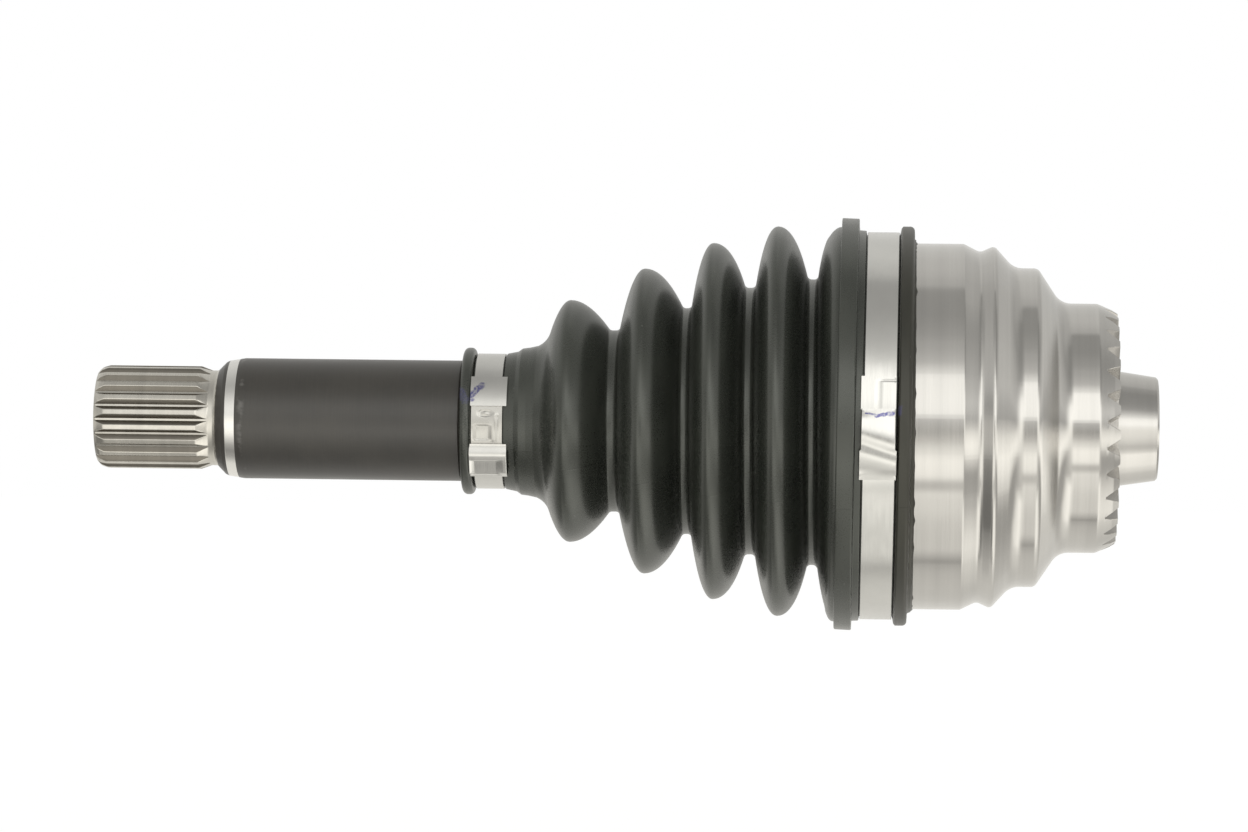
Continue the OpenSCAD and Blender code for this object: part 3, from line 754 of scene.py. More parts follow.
    def thread(self, angle: Array) -> tuple[Array, Array]:
        """Works out the bolt hole: r = hole_r + depth * triangle(x / pitch + angle / full turn), then a drill's cone.

        Args:
            angle: the angles of the columns.

        Returns:
            Places along the axis and radii, one row for each step down the hole.
        """
        rows = np.arange(self.spigot_len - 1e-3, self.hole_end_x, -self.thread_pitch / 6)
        x = rows[:, None] + 0 * angle[None, :]
        phase = (x / self.thread_pitch + angle / FULL_TURN) % 1
        fade = smooth((x - self.hole_end_x - 0.5) / 2)
        ridge = self.hole_r + self.thread_depth * fade * (1 - np.abs(2 * phase - 1))
        mouth = self.hole_r + (x - (self.spigot_len - 1.2)) * 4 / 3
        radius = np.maximum(ridge, mouth)
        tip = self.hole_end_x - self.hole_r / math.tan(math.radians(self.drill_half))
        last = np.array([[self.hole_end_x], [tip]]) + 0 * angle
        return np.concatenate([x, last]), np.concatenate([radius, np.array([[self.hole_r], [0.0]]) + 0 * angle])

    def inside(self, angle: Array) -> tuple[Array, Array]:
        """Works out the hollow: the larger of the ball face, the mouth's cone and the tracks, at every angle.

        A track is the tube of radius T about an arc of radius R. On the ray at the angle d from the track's plane the
        squared distance q from the axis solves (X^2 + q + R^2 - T^2)^2 = 4 R^2 (X^2 + q cos(d)^2), with X counted from
        the arc's centre, and the larger root is the outer wall.

        Args:
            angle: the angles of the columns.

        Returns:
            Places along the axis and radii, from the floor's middle to the mouth.
        """
        end = self.track_end_x
        rows = np.concatenate([[self.floor_x, self.floor_x, end + 0.05, end], np.linspace(end - 0.8, self.mouth_x, 34)])
        x = rows[:, None] + 0 * angle[None, :]
        ball = np.sqrt(np.maximum(0.01, self.hollow_r**2 - (x - self.joint_x) ** 2))
        cone = self.mouth_r - (x - self.mouth_x)
        radius = np.maximum(ball, cone)
        away = np.abs(nearest(angle[:, None] - self.track_offsets[None, :], FULL_TURN)).min(1)[None, :]
        run = x - (self.joint_x - self.track_shift)
        k = run**2 + self.track_r**2 - self.tube_r**2
        b = 2 * k - 4 * self.track_r**2 * np.cos(away) ** 2
        c = k**2 - 4 * self.track_r**2 * run**2
        under = b**2 - 4 * c
        wall = np.sqrt(np.maximum(0, (-b + np.sqrt(np.maximum(under, 0))) / 2))
        in_track = (under > 0) & (x <= end) & (np.abs(away) < 0.5)
        radius = np.where(in_track, np.maximum(radius, np.minimum(wall, self.mouth_r + 1.6)), radius)
        radius[0] = 0.0
        radius[-1] = self.mouth_r
        return x, radius

    def make(self) -> bpy.types.Object:
        """Builds the bell as one closed surface, from the hollow's floor round the mouth to the bolt hole's tip."""
        line = self.outside()
        angle = self.columns(line[:, 0], line[:, 1])
        whole, radius = turned(line, angle)
        x = self.teeth_cut(whole, radius, angle)
        first, last = angle[0], angle[-1]
        in_x, in_r = self.inside(first)
        hole_x, hole_r = self.thread(last)
        points = np.concatenate([ring(in_x, in_r, first), ring(x, radius, angle)[1:], ring(hole_x, hole_r, last)[1:]])
        finish = np.zeros(points.shape[:2], int)
        rows_in = in_x.shape[0]
        finish[: rows_in - 1] = 1
        # Faces in and beside the face-teeth grooves take finish 2: a rougher steel without spread for the cut flanks,
        # coloured darker as painted shade in the grooves.
        sunk = whole - x > 0.04
        near = sunk | np.roll(sunk, -1, 1)
        finish[rows_in : rows_in + line.shape[0] - 2] = np.where(near[1:-1] | near[2:], 2, 0)
        steels = [
            TurnedSteel().material(),
            GroundSteel("hardened track steel", (0.42, 0.41, 0.39, 1), 0.35).material(),
            TurnedSteel("cut tooth steel with painted shade", (0.47, 0.455, 0.43), 0.24, 0.0, 8e-7, 0.05).material(),
        ]
        piece = build("bell", [Patch(points, finish=finish)], steels, 26.0)
        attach(piece, Body.HOUSING.value)
        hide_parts("joint_housing")
        return piece


@dataclass
class Bar:
    """The drive shaft: plug-in spline, coated bar, and the splined stub that carries the inner race."""

    end_x: float = -254.8
    spline_r: float = 13.02
    spline_d: float = 1.12
    spline_stop: float = -228.9
    spline_tip: float = -225.8
    spline_teeth: int = 21
    per_space: int = 14
    flank_columns: tuple[int, ...] = (3, 4, 9, 10)
    space_at: float = -2.9
    floor_share: float = 0.07
    top_share: float = 0.35
    neck_r: float = 12.0
    shoulder_x: float = -224.5
    bar_r: float = 15.2
    seat_r: float = 14.25
    waist_r: float = 12.4
    lip_x: float = -162.2
    seat_end: float = -151.703
    collar_x: float = -143.503
    race_back: float = -53.5
    race_teeth: int = 24
    race_r: float = 12.0
    race_root: float = 11.0
    ring_x: float = -29.4
    ring_t: float = 1.5

    @property
    def pitch(self) -> float:
        """The angle from one tooth of the plug-in spline to the next."""
        return FULL_TURN / self.spline_teeth

    def columns(self, x: Array, radius: Array) -> Array:
        """Finds the angles of the mesh columns, which follow the edges of the spaces and spread out over the neck.

        Where the turned surface has the radius R, a space's edge stands at floor + (top - floor) * (R - r) / depth
        from its middle, with floor and top its half widths at the floor, of radius r, and at the top, as angles.

        Args:
            x: the place of each row.
            radius: the turned radius of each row.

        Returns:
            Angles in radians, one row for each place.
        """
        pitch = self.pitch
        bottom, top = self.floor_share * pitch, self.top_share * pitch
        share = np.clip((radius - self.spline_r + self.spline_d) / self.spline_d, 0.15, 1)
        edge = bottom + (top - bottom) * share
        bevel, flat = np.minimum(0.006, (edge - bottom) / 4), np.full_like(edge, bottom)
        cut = [0 * flat, flat / 2, flat, (flat + edge) / 2, edge - bevel, edge + bevel, (edge + pitch / 2) / 2]
        gone = smooth((x - self.spline_tip - 0.1) / 1.6)[:, None]
        half = np.stack(cut, 1) * (1 - gone) + pitch / 2 * np.arange(len(cut)) / len(cut) * gone
        whole = np.concatenate([np.full((x.size, 1), -pitch / 2), -half[:, :0:-1], half], 1)
        return repeated(whole, math.radians(self.space_at), self.spline_teeth)

    def spaces_cut(self, x: Array, radius: Array, angle: Array) -> Array:
        """Sinks the spaces of the plug-in spline: r = min(r, floor + flank), with the floor rising to the neck.

        Args:
            x: place of each point along the axis.
            radius: the turned radius at each point.
            angle: angle of each point.

        Returns:
            The radius with the spaces cut.
        """
        away = np.abs(nearest(angle - math.radians(self.space_at), self.pitch))
        root = self.spline_r - self.spline_d
        rise = smooth((x - self.spline_stop) / (self.spline_tip - self.spline_stop))
        slope = self.spline_d / (self.top_share - self.floor_share) / self.pitch
        flank = root + (self.neck_r - root) * rise + np.maximum(0, away - self.floor_share * self.pitch) * slope
        return np.where(x < self.spline_tip, np.minimum(radius, flank), radius)

    def race_spline(self, x: Array, radius: Array, angle: Array) -> Array:
        """Cuts the stub's spline: between teeth the radius falls from the tip's to the root's over a short flank."""
        pitch = FULL_TURN / self.race_teeth
        away = np.abs(nearest(angle, pitch)) / pitch
        cut = self.race_root + (self.race_r - self.race_root) * np.clip((0.31 - away) / 0.18, 0, 1)
        return np.where(x > self.race_back - 0.05, np.minimum(radius, cut), radius)

    def outline(self) -> tuple[Array, Array]:
        """Returns the turned outline, from the free end's centre hole to the stub's, and each row's finish."""
        e, s, b, stop, tip = self.end_x, self.shoulder_x, self.bar_r, self.spline_stop, self.spline_tip
        outer, neck, seat, lip, end = self.spline_r, self.neck_r, self.seat_r, self.lip_x, self.seat_end
        collar, waist, back, tooth = self.collar_x, self.waist_r, self.race_back - 0.1, self.race_r
        groove, after, ring_r = self.ring_x - 0.05, self.ring_x + self.ring_t, self.race_root - 0.4
        spline = rounded([
            (e + 3.4, 0.0),
            (e, 3.4),
            (e, outer - 1.5),
            (e + 0.9, outer - 0.55, 1.6),
            (e + 2.6, outer, 2.4),
            (stop, outer, 0.8),
            (tip - 0.3, neck, 1.0),
            (s, neck, 1.0),
            (s + 2.2, b - 0.95, 0.8),
            (s + 3.1, b - 0.6),
            (s + 5.6, b - 0.2, 0.8),
            (s + 6.9, b, 2.0),
            (lip - 0.6, b),
            (lip + 1.3, seat, 0.8),
            (end + 2.5, seat, 0.8),
            (end + 4.3, b, 0.5),
            (collar + 1.0, b, 3.0),
            (collar + 11.0, waist, 8.0),
            (back, waist),
            (back, tooth),
            (groove, tooth),
            (groove, ring_r),
            (after + 0.05, ring_r),
            (after + 0.05, tooth - 0.1),
            (after + 2.2, ring_r),
            (after + 2.2, 3.2),
            (after - 1.0, 0.0),
        ])
        line = refined(spline, 9.0, 0.2)
        run_out = (line[:, 0] > stop - 0.4) & (line[:, 0] < tip + 2)
        first, last = np.flatnonzero(run_out)[[0, -1]]
        fine = np.linspace(line[first, 0], line[last, 0], 26)
        middle = np.stack([fine, np.interp(fine, line[first : last + 1, 0], line[first : last + 1, 1])], 1)
        line = np.concatenate([line[:first], middle, line[last + 1 :]])
        centre = (line[:-1, 0] + line[1:, 0]) / 2
        finish = np.select([centre < s + 0.4, centre < s + 3.1, centre < s + 5.6], [0, 1, 2], 1)
        finish[centre > self.race_back - 0.2] = 0
        return line, finish

    def make(self) -> bpy.types.Object:
        """Builds the shaft as one closed surface of revolution with both splines cut into it."""
        line, finish = self.outline()
        angle = self.columns(line[:, 0], line[:, 1])
        x, radius = turned(line, angle)
        radius = self.spaces_cut(x, radius, angle)
        radius = self.race_spline(x, radius, angle)
        # The flanks of the plug-in spline's spaces take finish 3, a dark steel: painted shade on flanks that lie in
        # shade between the teeth.
        cut = (line[1:, 0] < self.spline_tip - 0.2) & (line[1:, 1] > self.spline_r - self.spline_d)
        flank = np.isin(np.arange(angle.shape[1]) % self.per_space, self.flank_columns)
        finish = np.where(cut[:, None] & flank[None, :], 3, finish[:, None])
        steels = [
            TurnedSteel("rolled spline steel", (0.61, 0.59, 0.54), 0.25, 0.0, 1.0e-6, 0.09).material(),
            CoatedSteel().material(),
            # The ground ring is bare steel; its colour, paler than the other bare steel, is a painted highlight.
            TurnedSteel("ground ring steel with painted highlight", (0.85, 0.84, 0.81), 0.15, 0.4, 8e-7, 0.03).material(),
            TurnedSteel("spline flank steel with painted shade", (0.2, 0.185, 0.16), 0.33, 0.0, 1.0e-6, 0.09).material(),
        ]
        piece = build("bar", [Patch(ring(x, radius, angle), finish=finish)], steels, 27.0)
        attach(piece, Body.SHAFT.value)
        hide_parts("drive_shaft")
        return piece


@dataclass
class Boot:
    """The rubber boot: one moulded wall with four full folds and a half one, and a collar at each end."""

    lip_x: float = Bar.lip_x
    lip_r: float = 18.5
    bar_seat_r: float = Bar.seat_r
    seat_r: float = 16.2
    band_x: float = -158.803
    band_end: float = Bar.seat_end
    collar_x: float = Bar.collar_x
    collar_r: float = 19.2
    rim_x: float = -67.903
    rim_w: float = 4.3
    rim_r: float = 51.705
    large_seat_r: float = 47.855
    large_band_x: float = -61.453
    large_band_end: float = -53.503
    bead_r: float = 50.155
    bell_r: float = Bell.bell_r
    bell_seat_r: float = Bell.seat_r
    bell_mouth_x: float = Bell.mouth_x
    bell_mouth_r: float = Bell.mouth_r
    bell_step_x: float = Bell.seat_end_x
    wall: float = 2.2
    base_r: float = 49.605
    columns: int = 180
    blend_start_x: float = -60.0
    blend_end_x: float = -125.0
    crest_round: float = 4.0
    root_round: float = 0.8
    root_soft: float = 1.15
    lean: float = 0.0083
    askew: float = 0.01
    large_from: float = -73.0
    large_over: float = 5.0
    rim_lift: float = 0.3
    lifts: tuple[Corner, ...] = ((-143.5, 0.0), (-135, 0.3), (-83, 0.88), (-74, 0.7), (-66, 0.0))
    half_fold: Corner = (-70.867, 48.395, 2.4)
    crests: tuple[Corner, ...] = (
        (-135.35, 30.5, 0.9, 0.85, 0.27, 0.22),
        (-116.6, 38.42, 1.0, 1.03, 0.32, 0.26),
        (-99.33, 44.84, 1.25, 1.4, 0.42, 0.36),
        (-83.1, 49.0, 1.4, 1.5, 0.45, 0.37),
    )
    roots: tuple[Corner, ...] = (
        (0.0, -141.2, 20.3),
        (-125.34, -122.89, 22.85),
        (-106.95, -104.79, 28.45),
        (-91.27, -88.72, 33.56),
        (-75.54, -73.11, 35.93),
    )

    def flank(self, crest: Corner, foot: Corner, full: float, share: Array) -> list[Corner]:
        """Returns a flank's points: they drop from the crest by t^2 / (full + (1 - full) * t) of its height.

        Args:
            crest: x and radius of the crest.
            foot: x and radius of the foot.
            full: 1 for a parabola, less for a straighter flank and more for a fuller one.
            share: t for each point, from 0 at the crest to 1 at the foot.

        Returns:
            The points, one for each share.
        """
        x = crest[0] + (foot[0] - crest[0]) * share
        radius = crest[1] + (foot[1] - crest[1]) * share**2 / (full + (1 - full) * share)
        return list(zip(x.tolist(), radius.tolist()))

    def folds(self) -> tuple[list[Corner], list[Corner]]:
        """Returns the folds' outer line, and the corners that the inner line follows a wall's thickness further in."""
        steps = (np.arange(0, 17) / 17) ** 0.8
        line: list[Corner] = [(self.collar_x, self.collar_r)]
        core: list[Corner] = [(self.collar_x, self.collar_r)]
        for i, (at, high, left_full, right_full, left_top, right_top) in enumerate(self.crests):
            crest = (at, high)
            left = (*self.roots[i][1:], self.root_round if i else 4.5)
            right = (self.roots[i + 1][0], self.roots[i + 1][2], self.root_round)
            upper = steps if i else steps[:-3]
            line += [(*left[:2], self.root_soft if i else 5.8), *self.flank(crest, left, left_full, upper)[::-1]]
            line += [*self.flank(crest, right, right_full, steps)[1:], (*right[:2], self.root_soft)]
            swell = self.flank(crest, right, right_full, np.array([0.7]))[0]
            core += [
                left,
                (at + (left[0] - at) * left_top, high - 0.1, 0.75 * self.crest_round),
                (at + (right[0] - at) * right_top, high - 0.3, self.crest_round),
                (*swell, 2.25 * self.crest_round),
                right,
            ]
        last, end = (*self.roots[-1][1:], self.root_round), (self.rim_x - 0.1, self.base_r)
        line += [(*last[:2], self.root_soft), *self.flank(end, last, 1.8, steps)[::-1]]
        core += [last, self.half_fold, end]
        return line, core

    def outside(self) -> Array:
        """Returns the outer line, from the lip on the bar to the end of the bead on the bell."""
        lip, end, seat, rim_end = self.lip_x, self.band_end, self.seat_r, self.rim_x + self.rim_w
        groove, groove_end, low, bead = self.large_band_x, self.large_band_end, self.large_seat_r, self.bead_r
        step, bell, under = self.bell_step_x, self.bell_r, self.bell_seat_r
        small = rounded([
            (lip, self.bar_seat_r + 1.1),
            (lip, self.lip_r, 1.25),
            (lip + 2.6, self.lip_r, 1.1),
            (self.band_x - 0.2, seat),
            (end + 0.1, seat),
            (end + 0.4, seat + 0.9, 0.2),
            (end + 3.1, seat + 1.45, 0.4),
            (end + 4.2, seat + 2.25, 0.4),
            (end + 6.1, seat + 2.5, 1.0),
            (self.collar_x - 0.1, self.collar_r - 0.05),
        ])
        large = rounded([
            (self.rim_x - 0.02, self.base_r),
            (self.rim_x, self.rim_r, 0.35),
            (rim_end, self.rim_r, 0.35),
            (rim_end + 0.12, low + 1.25, 0.2),
            (groove - 0.35, low + 1.15, 0.2),
            (groove - 0.15, low),
            (groove_end + 0.1, low),
            (groove_end + 0.5, bead - 0.5),
            (groove_end + 0.9, bead, 0.3),
            (step - 0.15, bead, 1.1),
            (step - 0.05, bell + 1.0, 0.3),
            (step + 0.5, bell + 0.8, 0.15),
            (step + 0.6, bell + 0.5),
            (step + 0.75, bell + 0.13),
            (step + 0.1, bell + 0.1),
            (step - 0.75, under + 0.3),
            (step - 0.75, under + 0.03),
        ])
        return np.concatenate([refined(small), refined(rounded(self.folds()[0], 8.0), 3.0, 0.4), refined(large)])

    def inside(self) -> Array:
        """Returns the inner line, from the bell back to the lip, at the wall's thickness inside the folds."""
        folds = rounded(inward(self.folds()[1], self.wall), 20.0)[::-1]
        folds = folds[(folds[:, 0] < self.rim_x - 0.4) & (folds[:, 0] > self.collar_x + 1.4)]
        bell = np.array([
            (self.bell_mouth_x + 0.9, self.bell_seat_r + 0.03),
            (self.bell_mouth_x - 0.05, self.bell_seat_r - 0.85),
            (self.bell_mouth_x - 0.05, self.bell_mouth_r + 3.0),
            (self.rim_x + 1.1, self.base_r - 4.5),
        ])
        bar = np.array([
            (self.collar_x - 1.2, self.bar_seat_r + 1.55),
            (self.band_end + 4.5, self.bar_seat_r + 1.35),
            (self.band_end + 2.3, self.bar_seat_r + 0.05),
            (self.lip_x + 1.5, self.bar_seat_r + 0.05),
        ])
        return refined(np.concatenate([bell, folds, bar]), 8.0, 1.5)

    def flash(self, x: Array, radius: Array, angle: Array) -> tuple[Array, Array]:
        """Roughens the trimmed edges: the rim's wanders a little, and the bead's thin flash creeps onto the bell.

        Args:
            x: place of each point of the outer surface.
            radius: its radius.
            angle: its angle.

        Returns:
            The places and radii with the roughened edges.
        """
        wave = wobble(angle, 7, 30, 110)
        nick = np.clip(wobble(angle, 11, 20, 60) - 1.3, 0, 1)
        at_rim = hump(x - self.rim_x, self.rim_w, 0.5) * (radius > self.rim_r - 1.5)
        at_bead = hump(x - self.bell_step_x, 0.3, 0.5) * (radius > self.bell_r + 0.4)
        tip = (radius < self.bell_r + 0.2) & (radius > self.bell_r + 0.11) & (x > self.bell_step_x + 0.5)
        creep = 0.22 * np.clip(wobble(angle, 19, 24, 90) - 0.2, 0, 2)
        creep = creep + 0.5 * np.clip(wobble(angle, 23, 60, 140) - 1.2, 0, 1)
        x = x + at_rim * (0.05 * wave - 0.35 * nick) + at_bead * 0.07 * wave + tip * creep
        return x, radius + (at_rim + at_bead) * (0.04 * wave - 0.25 * nick)

    def settle(self, points: Array) -> Array:
        """Lets the boot hang as it was fitted: folds leaning and a little high, and the large end askew on the bell.

        A point moves along x by its height times the lean there, and up by the lift there.

        Args:
            points: the points of the boot's wall.

        Returns:
            The moved points.
        """
        x, radius = points[..., 0], np.hypot(points[..., 1], points[..., 2])
        fold, large = smooth((x - self.collar_x) / 10), smooth((x - self.large_from) / self.large_over)
        outer = smooth((radius - self.bell_r) / 1.5)
        lift = np.interp(x, *zip(*self.lifts))
        moved = points.copy()
        moved[..., 0] += points[..., 2] * (self.askew * large * outer - self.lean * fold * (1 - large))
        moved[..., 2] += lift + self.rim_lift * large * smooth((radius - 49) / 1.5) * (x < -60)
        return moved

    def make(self) -> bpy.types.Object:
        """Builds the boot as one closed wall, settled as it was fitted."""
        outer, inner = self.outside(), self.inside()
        angle = np.linspace(0, FULL_TURN, self.columns, endpoint=False)[None, :]
        x, radius = turned(outer, angle)
        x, radius = self.flash(x, radius, angle + 0 * x)
        points = np.concatenate([ring(x, radius, angle), ring(inner[:, :1], inner[:, 1:], angle)])
        points = self.settle(points)
        ink = (
            Stroke((-161.9, 7.2), (-160.7, 5.2), 2.0),
            Stroke((-52.6, 3.1), (-52.5, 4.6), 1.0),
        )
        # The bead takes a darker, browner copy of the boot's rubber: painted shade on the bead.
        bead = (points[..., 0].mean(1) > self.large_band_end + 0.3).astype(int)
        rubber = Rubber(strokes=ink).material()
        dark, bloom, tint = (0.021, 0.021, 0.0165, 1), (0.036, 0.0355, 0.027, 1), (1, 0.99, 0.9, 1)
        bead_shaded_rubber = Rubber("bead rubber with painted shade", dark, bloom, tint, 0.38, level=0.7, strokes=ink).material()
        piece = build("rubber_boot", [Patch(points, closed_rows=True, finish=bead)], [rubber, bead_shaded_rubber], 34.0)
        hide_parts("boot")
        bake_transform(piece)
        return piece


@dataclass
class Strap:
    """A stretch of bent strap: a rounded flat section carried along a path about the axis."""

    thickness: float = 0.8
    edge: float = 0.16

    def section(self) -> tuple[Array, Array, Array]:
        """Returns the section's points: side (-1 left, 1 right), extra width and height above the middle."""
        t, e = self.thickness / 2, self.edge
        arc = np.radians(np.array([0.0, 30.0, 60.0, 90.0]))
        side, extra, height = [], [], []
        across = np.linspace(0.96, -0.96, 15)
        for s, a, sign in ((1, arc, 1), (-1, arc[::-1], 1), (-1, arc, -1), (1, arc[::-1], -1)):
            if sign == 1 and s == -1:
                side.extend(across), extra.extend(0 * across), height.extend(0 * across + t)
            side.extend([s] * 4)
            extra.extend(s * (np.cos(a) * e - e))
            height.extend(sign * (t - e + np.sin(a) * e))
        return np.array(side, float), np.array(extra), np.array(height)

    def carry(
        self, angle: Array, radius: Along, left: Along, right: Along, relief: Relief | None = None, ends: bool = True
    ) -> Patch:
        """Carries the section along a path: the point at side s lies at x = middle + s * half width.

        Args:
            angle: the path's angles, rising.
            radius: the radius of the strap's middle, one for the whole path or one for each angle.
            left: the x of the left edge, likewise.
            right: the x of the right edge, likewise.
            relief: the height added to the top face, from the angle and the side.
            ends: whether the stretch ends, or closes on itself.

        Returns:
            The surface patch.
        """
        side, extra, height = self.section()
        radius, left, right = (np.broadcast_to(value, angle.shape)[:, None] for value in (radius, left, right))
        middle, half = (left + right) / 2, (right - left) / 2
        x = middle + side * half + extra
        lift = height + 0 * x
        if relief is not None:
            on_top = (height > 0) & (np.abs(side) < 0.99)
            lift = lift + np.where(on_top, relief(angle[:, None] + 0 * x, side + 0 * x), 0)
        points = ring(x, radius + lift, angle[:, None])
        if ends:
            middles = points[[0, -1]].mean(1, keepdims=True) + 0 * points[[0, -1]]
            points = np.concatenate([middles[:1], points, middles[1:]])
        return Patch(points, closed_rows=not ends)


@dataclass
class SmallClamp:
    """The strap clamp on the boot's small end, with its outer strap, stamped stretch and bowed ear."""

    band_x: float = Boot.band_x
    width: float = 7.1
    inner_r: float = 16.25
    thickness: float = 0.8
    ear_start: float = -49.8
    ear_end: float = -18.6
    ear_right: float = 1.4

    def ear(self) -> tuple[Array, Array]:
        """Returns the ear's angles and the radii of its middle line: a steep rise, a level stretch and a short fall."""
        angle = fan(self.ear_start, self.ear_end, 90)
        deg = np.degrees(angle)
        rise = smooth((self.ear_end - deg) / 9.5)
        fall = smooth((-42.5 - deg) / 7.5)
        return angle, self.inner_r + 1.55 * self.thickness + 1.15 * rise - 0.95 * fall

    def stamped(self, angle: Array, side: Array) -> Array:
        """Returns the relief of the stamped stretch: a pressed window, a small hook above it and a raised rib."""
        deg = np.degrees(angle)
        window = smooth((0.56 - np.abs(side + 0.28)) / 0.2) * smooth((7.4 - np.abs(deg + 9.4)) / 2.6)
        hook = hump(((side + 0.1) / 0.34) ** 2 + ((deg - 6.4) / 2.6) ** 2, 0.8, 0.5)
        rib = hump(side, 0.5, 0.1) * smooth((13.0 - np.abs(deg + 5)) / 3)
        line = hump(side, 0.72, 0.07) * smooth((12.0 - np.abs(deg + 6)) / 3)
        return 0.2 * rib - 0.13 * line - 0.26 * window - 0.18 * hook

    def crease(self, angle: Array, side: Array) -> Array:
        """Returns the relief of the ear: a sunk panel that leaves a strip on its right, and a slot at its lower end."""
        deg = np.degrees(angle)
        across = smooth((0.84 - np.abs(side + 0.14)) / 0.12)
        panel = across * smooth((7.0 - np.abs(deg + 37.5)) / 1.6)
        slot = across * hump(deg, -46.6, 0.7)
        return -0.2 * panel - 0.4 * slot

    def make(self) -> bpy.types.Object:
        """Builds the clamp from its band, outer strap, stamped stretch and ear."""
        left, right, t = self.band_x, self.band_x + self.width, self.thickness
        strap = Strap(t)
        mid = self.inner_r + t / 2
        turn = np.radians(np.arange(0, 360, 2.5))
        band = strap.carry(turn, mid, left, right, ends=False)
        over = fan(12.4, 38.6, 24)
        outer = strap.carry(over, mid + t, left - 0.85, right + self.ear_right)
        low = fan(-19.5, 13.0, 80)
        plate = Strap(0.5).carry(low, mid + t / 2 + 0.2, left - 0.5, right + 0.35, self.stamped)
        angle, radius = self.ear()
        ear = strap.carry(angle, radius, left - 0.95, right + self.ear_right, self.crease)
        ink = (
            Stroke((-156.6, 9.0), (-160.1, 5.8), 1.5),
            Stroke((-159.9, 4.9), (-158.8, 5.3), 0.9),
        )
        steel = StrapSteel("small strap steel", strokes=ink).material()
        stamped = StrapSteel("stamped strap steel", (0.54, 0.53, 0.5, 1), 0.24).material()
        plate.finish = np.ones(1, int)
        piece = build("small_strap", [band, outer, plate, ear], [steel, stamped], 40.0)
        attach(piece, Body.SHAFT.value)
        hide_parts("small_clamp")
        return piece


@dataclass
class LargeClamp:
    """The strap clamp on the boot's large end, with its overlap, locking tongue and bowed ear."""

    band_x: float = Boot.large_band_x
    width: float = 7.95
    askew: float = Boot.askew
    inner_r: float = 47.86
    thickness: float = 0.8
    ear_middle: float = -5.2

    def tongue(self, angle: Array, side: Array) -> Array:
        """Returns the relief of the outer strap: the outline of the locking tongue, pressed in as a fine groove."""
        deg = np.degrees(angle)
        up = smooth((13.2 - deg) / 0.5)
        line = hump(side, 0.02, 0.05) * up
        top = hump(deg, 13.0, 0.32) * (side > 0.02)
        return -0.09 * np.maximum(line, top)

    def arch(self, deg: Array) -> Array:
        """Returns the ear's rise at an angle: (1 - u^2)^1.2, with u from -1 to 1 along the ear."""
        return np.clip(1 - ((deg - self.ear_middle) / 10.1) ** 2, 0, 1) ** 1.2

    def skewed(self, angle: Array, side: Array) -> Array:
        """Returns the ear's relief: its arch set askew, with the ridge running down to the right, and a crease."""
        deg = np.degrees(angle)
        dent = hump(deg + 6.4, -1.6 * side, 1.8)
        askew = 0.7 * (self.arch(deg + 2.6 * side) - self.arch(deg))
        return (askew - 0.35 * dent) * smooth((9.6 - np.abs(deg - self.ear_middle)) / 3)

    def make(self) -> bpy.types.Object:
        """Builds the clamp from its band, outer strap and ear."""
        left, right, t = self.band_x, self.band_x + self.width, self.thickness
        strap = Strap(t)
        mid = self.inner_r + t / 2
        turn = np.radians(np.arange(0, 360, 1.6))
        band = strap.carry(turn, mid, left, right, ends=False)
        over = fan(4.6, 14.2, 60)
        outer = strap.carry(over, mid + t, left - 0.8, right, self.tongue)
        angle = fan(-15.3, 4.9, 80)
        deg = np.degrees(angle)
        radius = mid + t + 1.1 * self.arch(deg) + 0.12
        wider = smooth((-6.5 - deg) / 0.3)
        ear = strap.carry(angle, radius, left - 0.5 - 0.4 * wider, right - 0.1 + 0.4 * wider, self.skewed)
        ink = (
            Stroke((-60.9, 3.1), (-57.6, 2.6), 0.5),
            Stroke((-58.3, 2.5), (-54.4, 3.1), 1.0),
        )
        steel = StrapSteel("large strap steel", strokes=ink).material()
        for patch in (band, outer, ear):
            patch.points[..., 0] += self.askew * patch.points[..., 2]
        piece = build("large_strap", [band, outer, ear], [steel], 40.0)
        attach(piece, Body.HOUSING.value)
        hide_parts("large_clamp")
        return piece


@dataclass
class JointInside:
    """The pieces inside the joint, which keep their CAD meshes: balls, cage, inner race and its ring."""

    balls: int = 6

    def dress(self) -> None:
        """Gives every carried-over CAD node its finish."""
        ball = GroundSteel("polished ball steel", (0.62, 0.61, 0.6, 1), 0.1, 900.0, 4e-7).material()
        race = GroundSteel("ground race steel", (0.45, 0.44, 0.42, 1), 0.32).material()
        cage = GroundSteel("hardened cage steel", (0.3, 0.29, 0.28, 1), 0.4).material()
        spring = GroundSteel("blued spring steel", (0.13, 0.135, 0.16, 1), 0.36).material()
        finishes = {f"ball_{i + 1}": ball for i in range(self.balls)}
        finishes |= {"inner_race": race, "ball_cage": cage, "race_ring": spring}
        for name, material in finishes.items():
            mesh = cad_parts[name].data
            mesh.materials.clear()
            mesh.materials.append(material)
            LOG.info("%s: dressed in %s", name, material.name)


# Studio


Levels = tuple[tuple[float, float], ...]


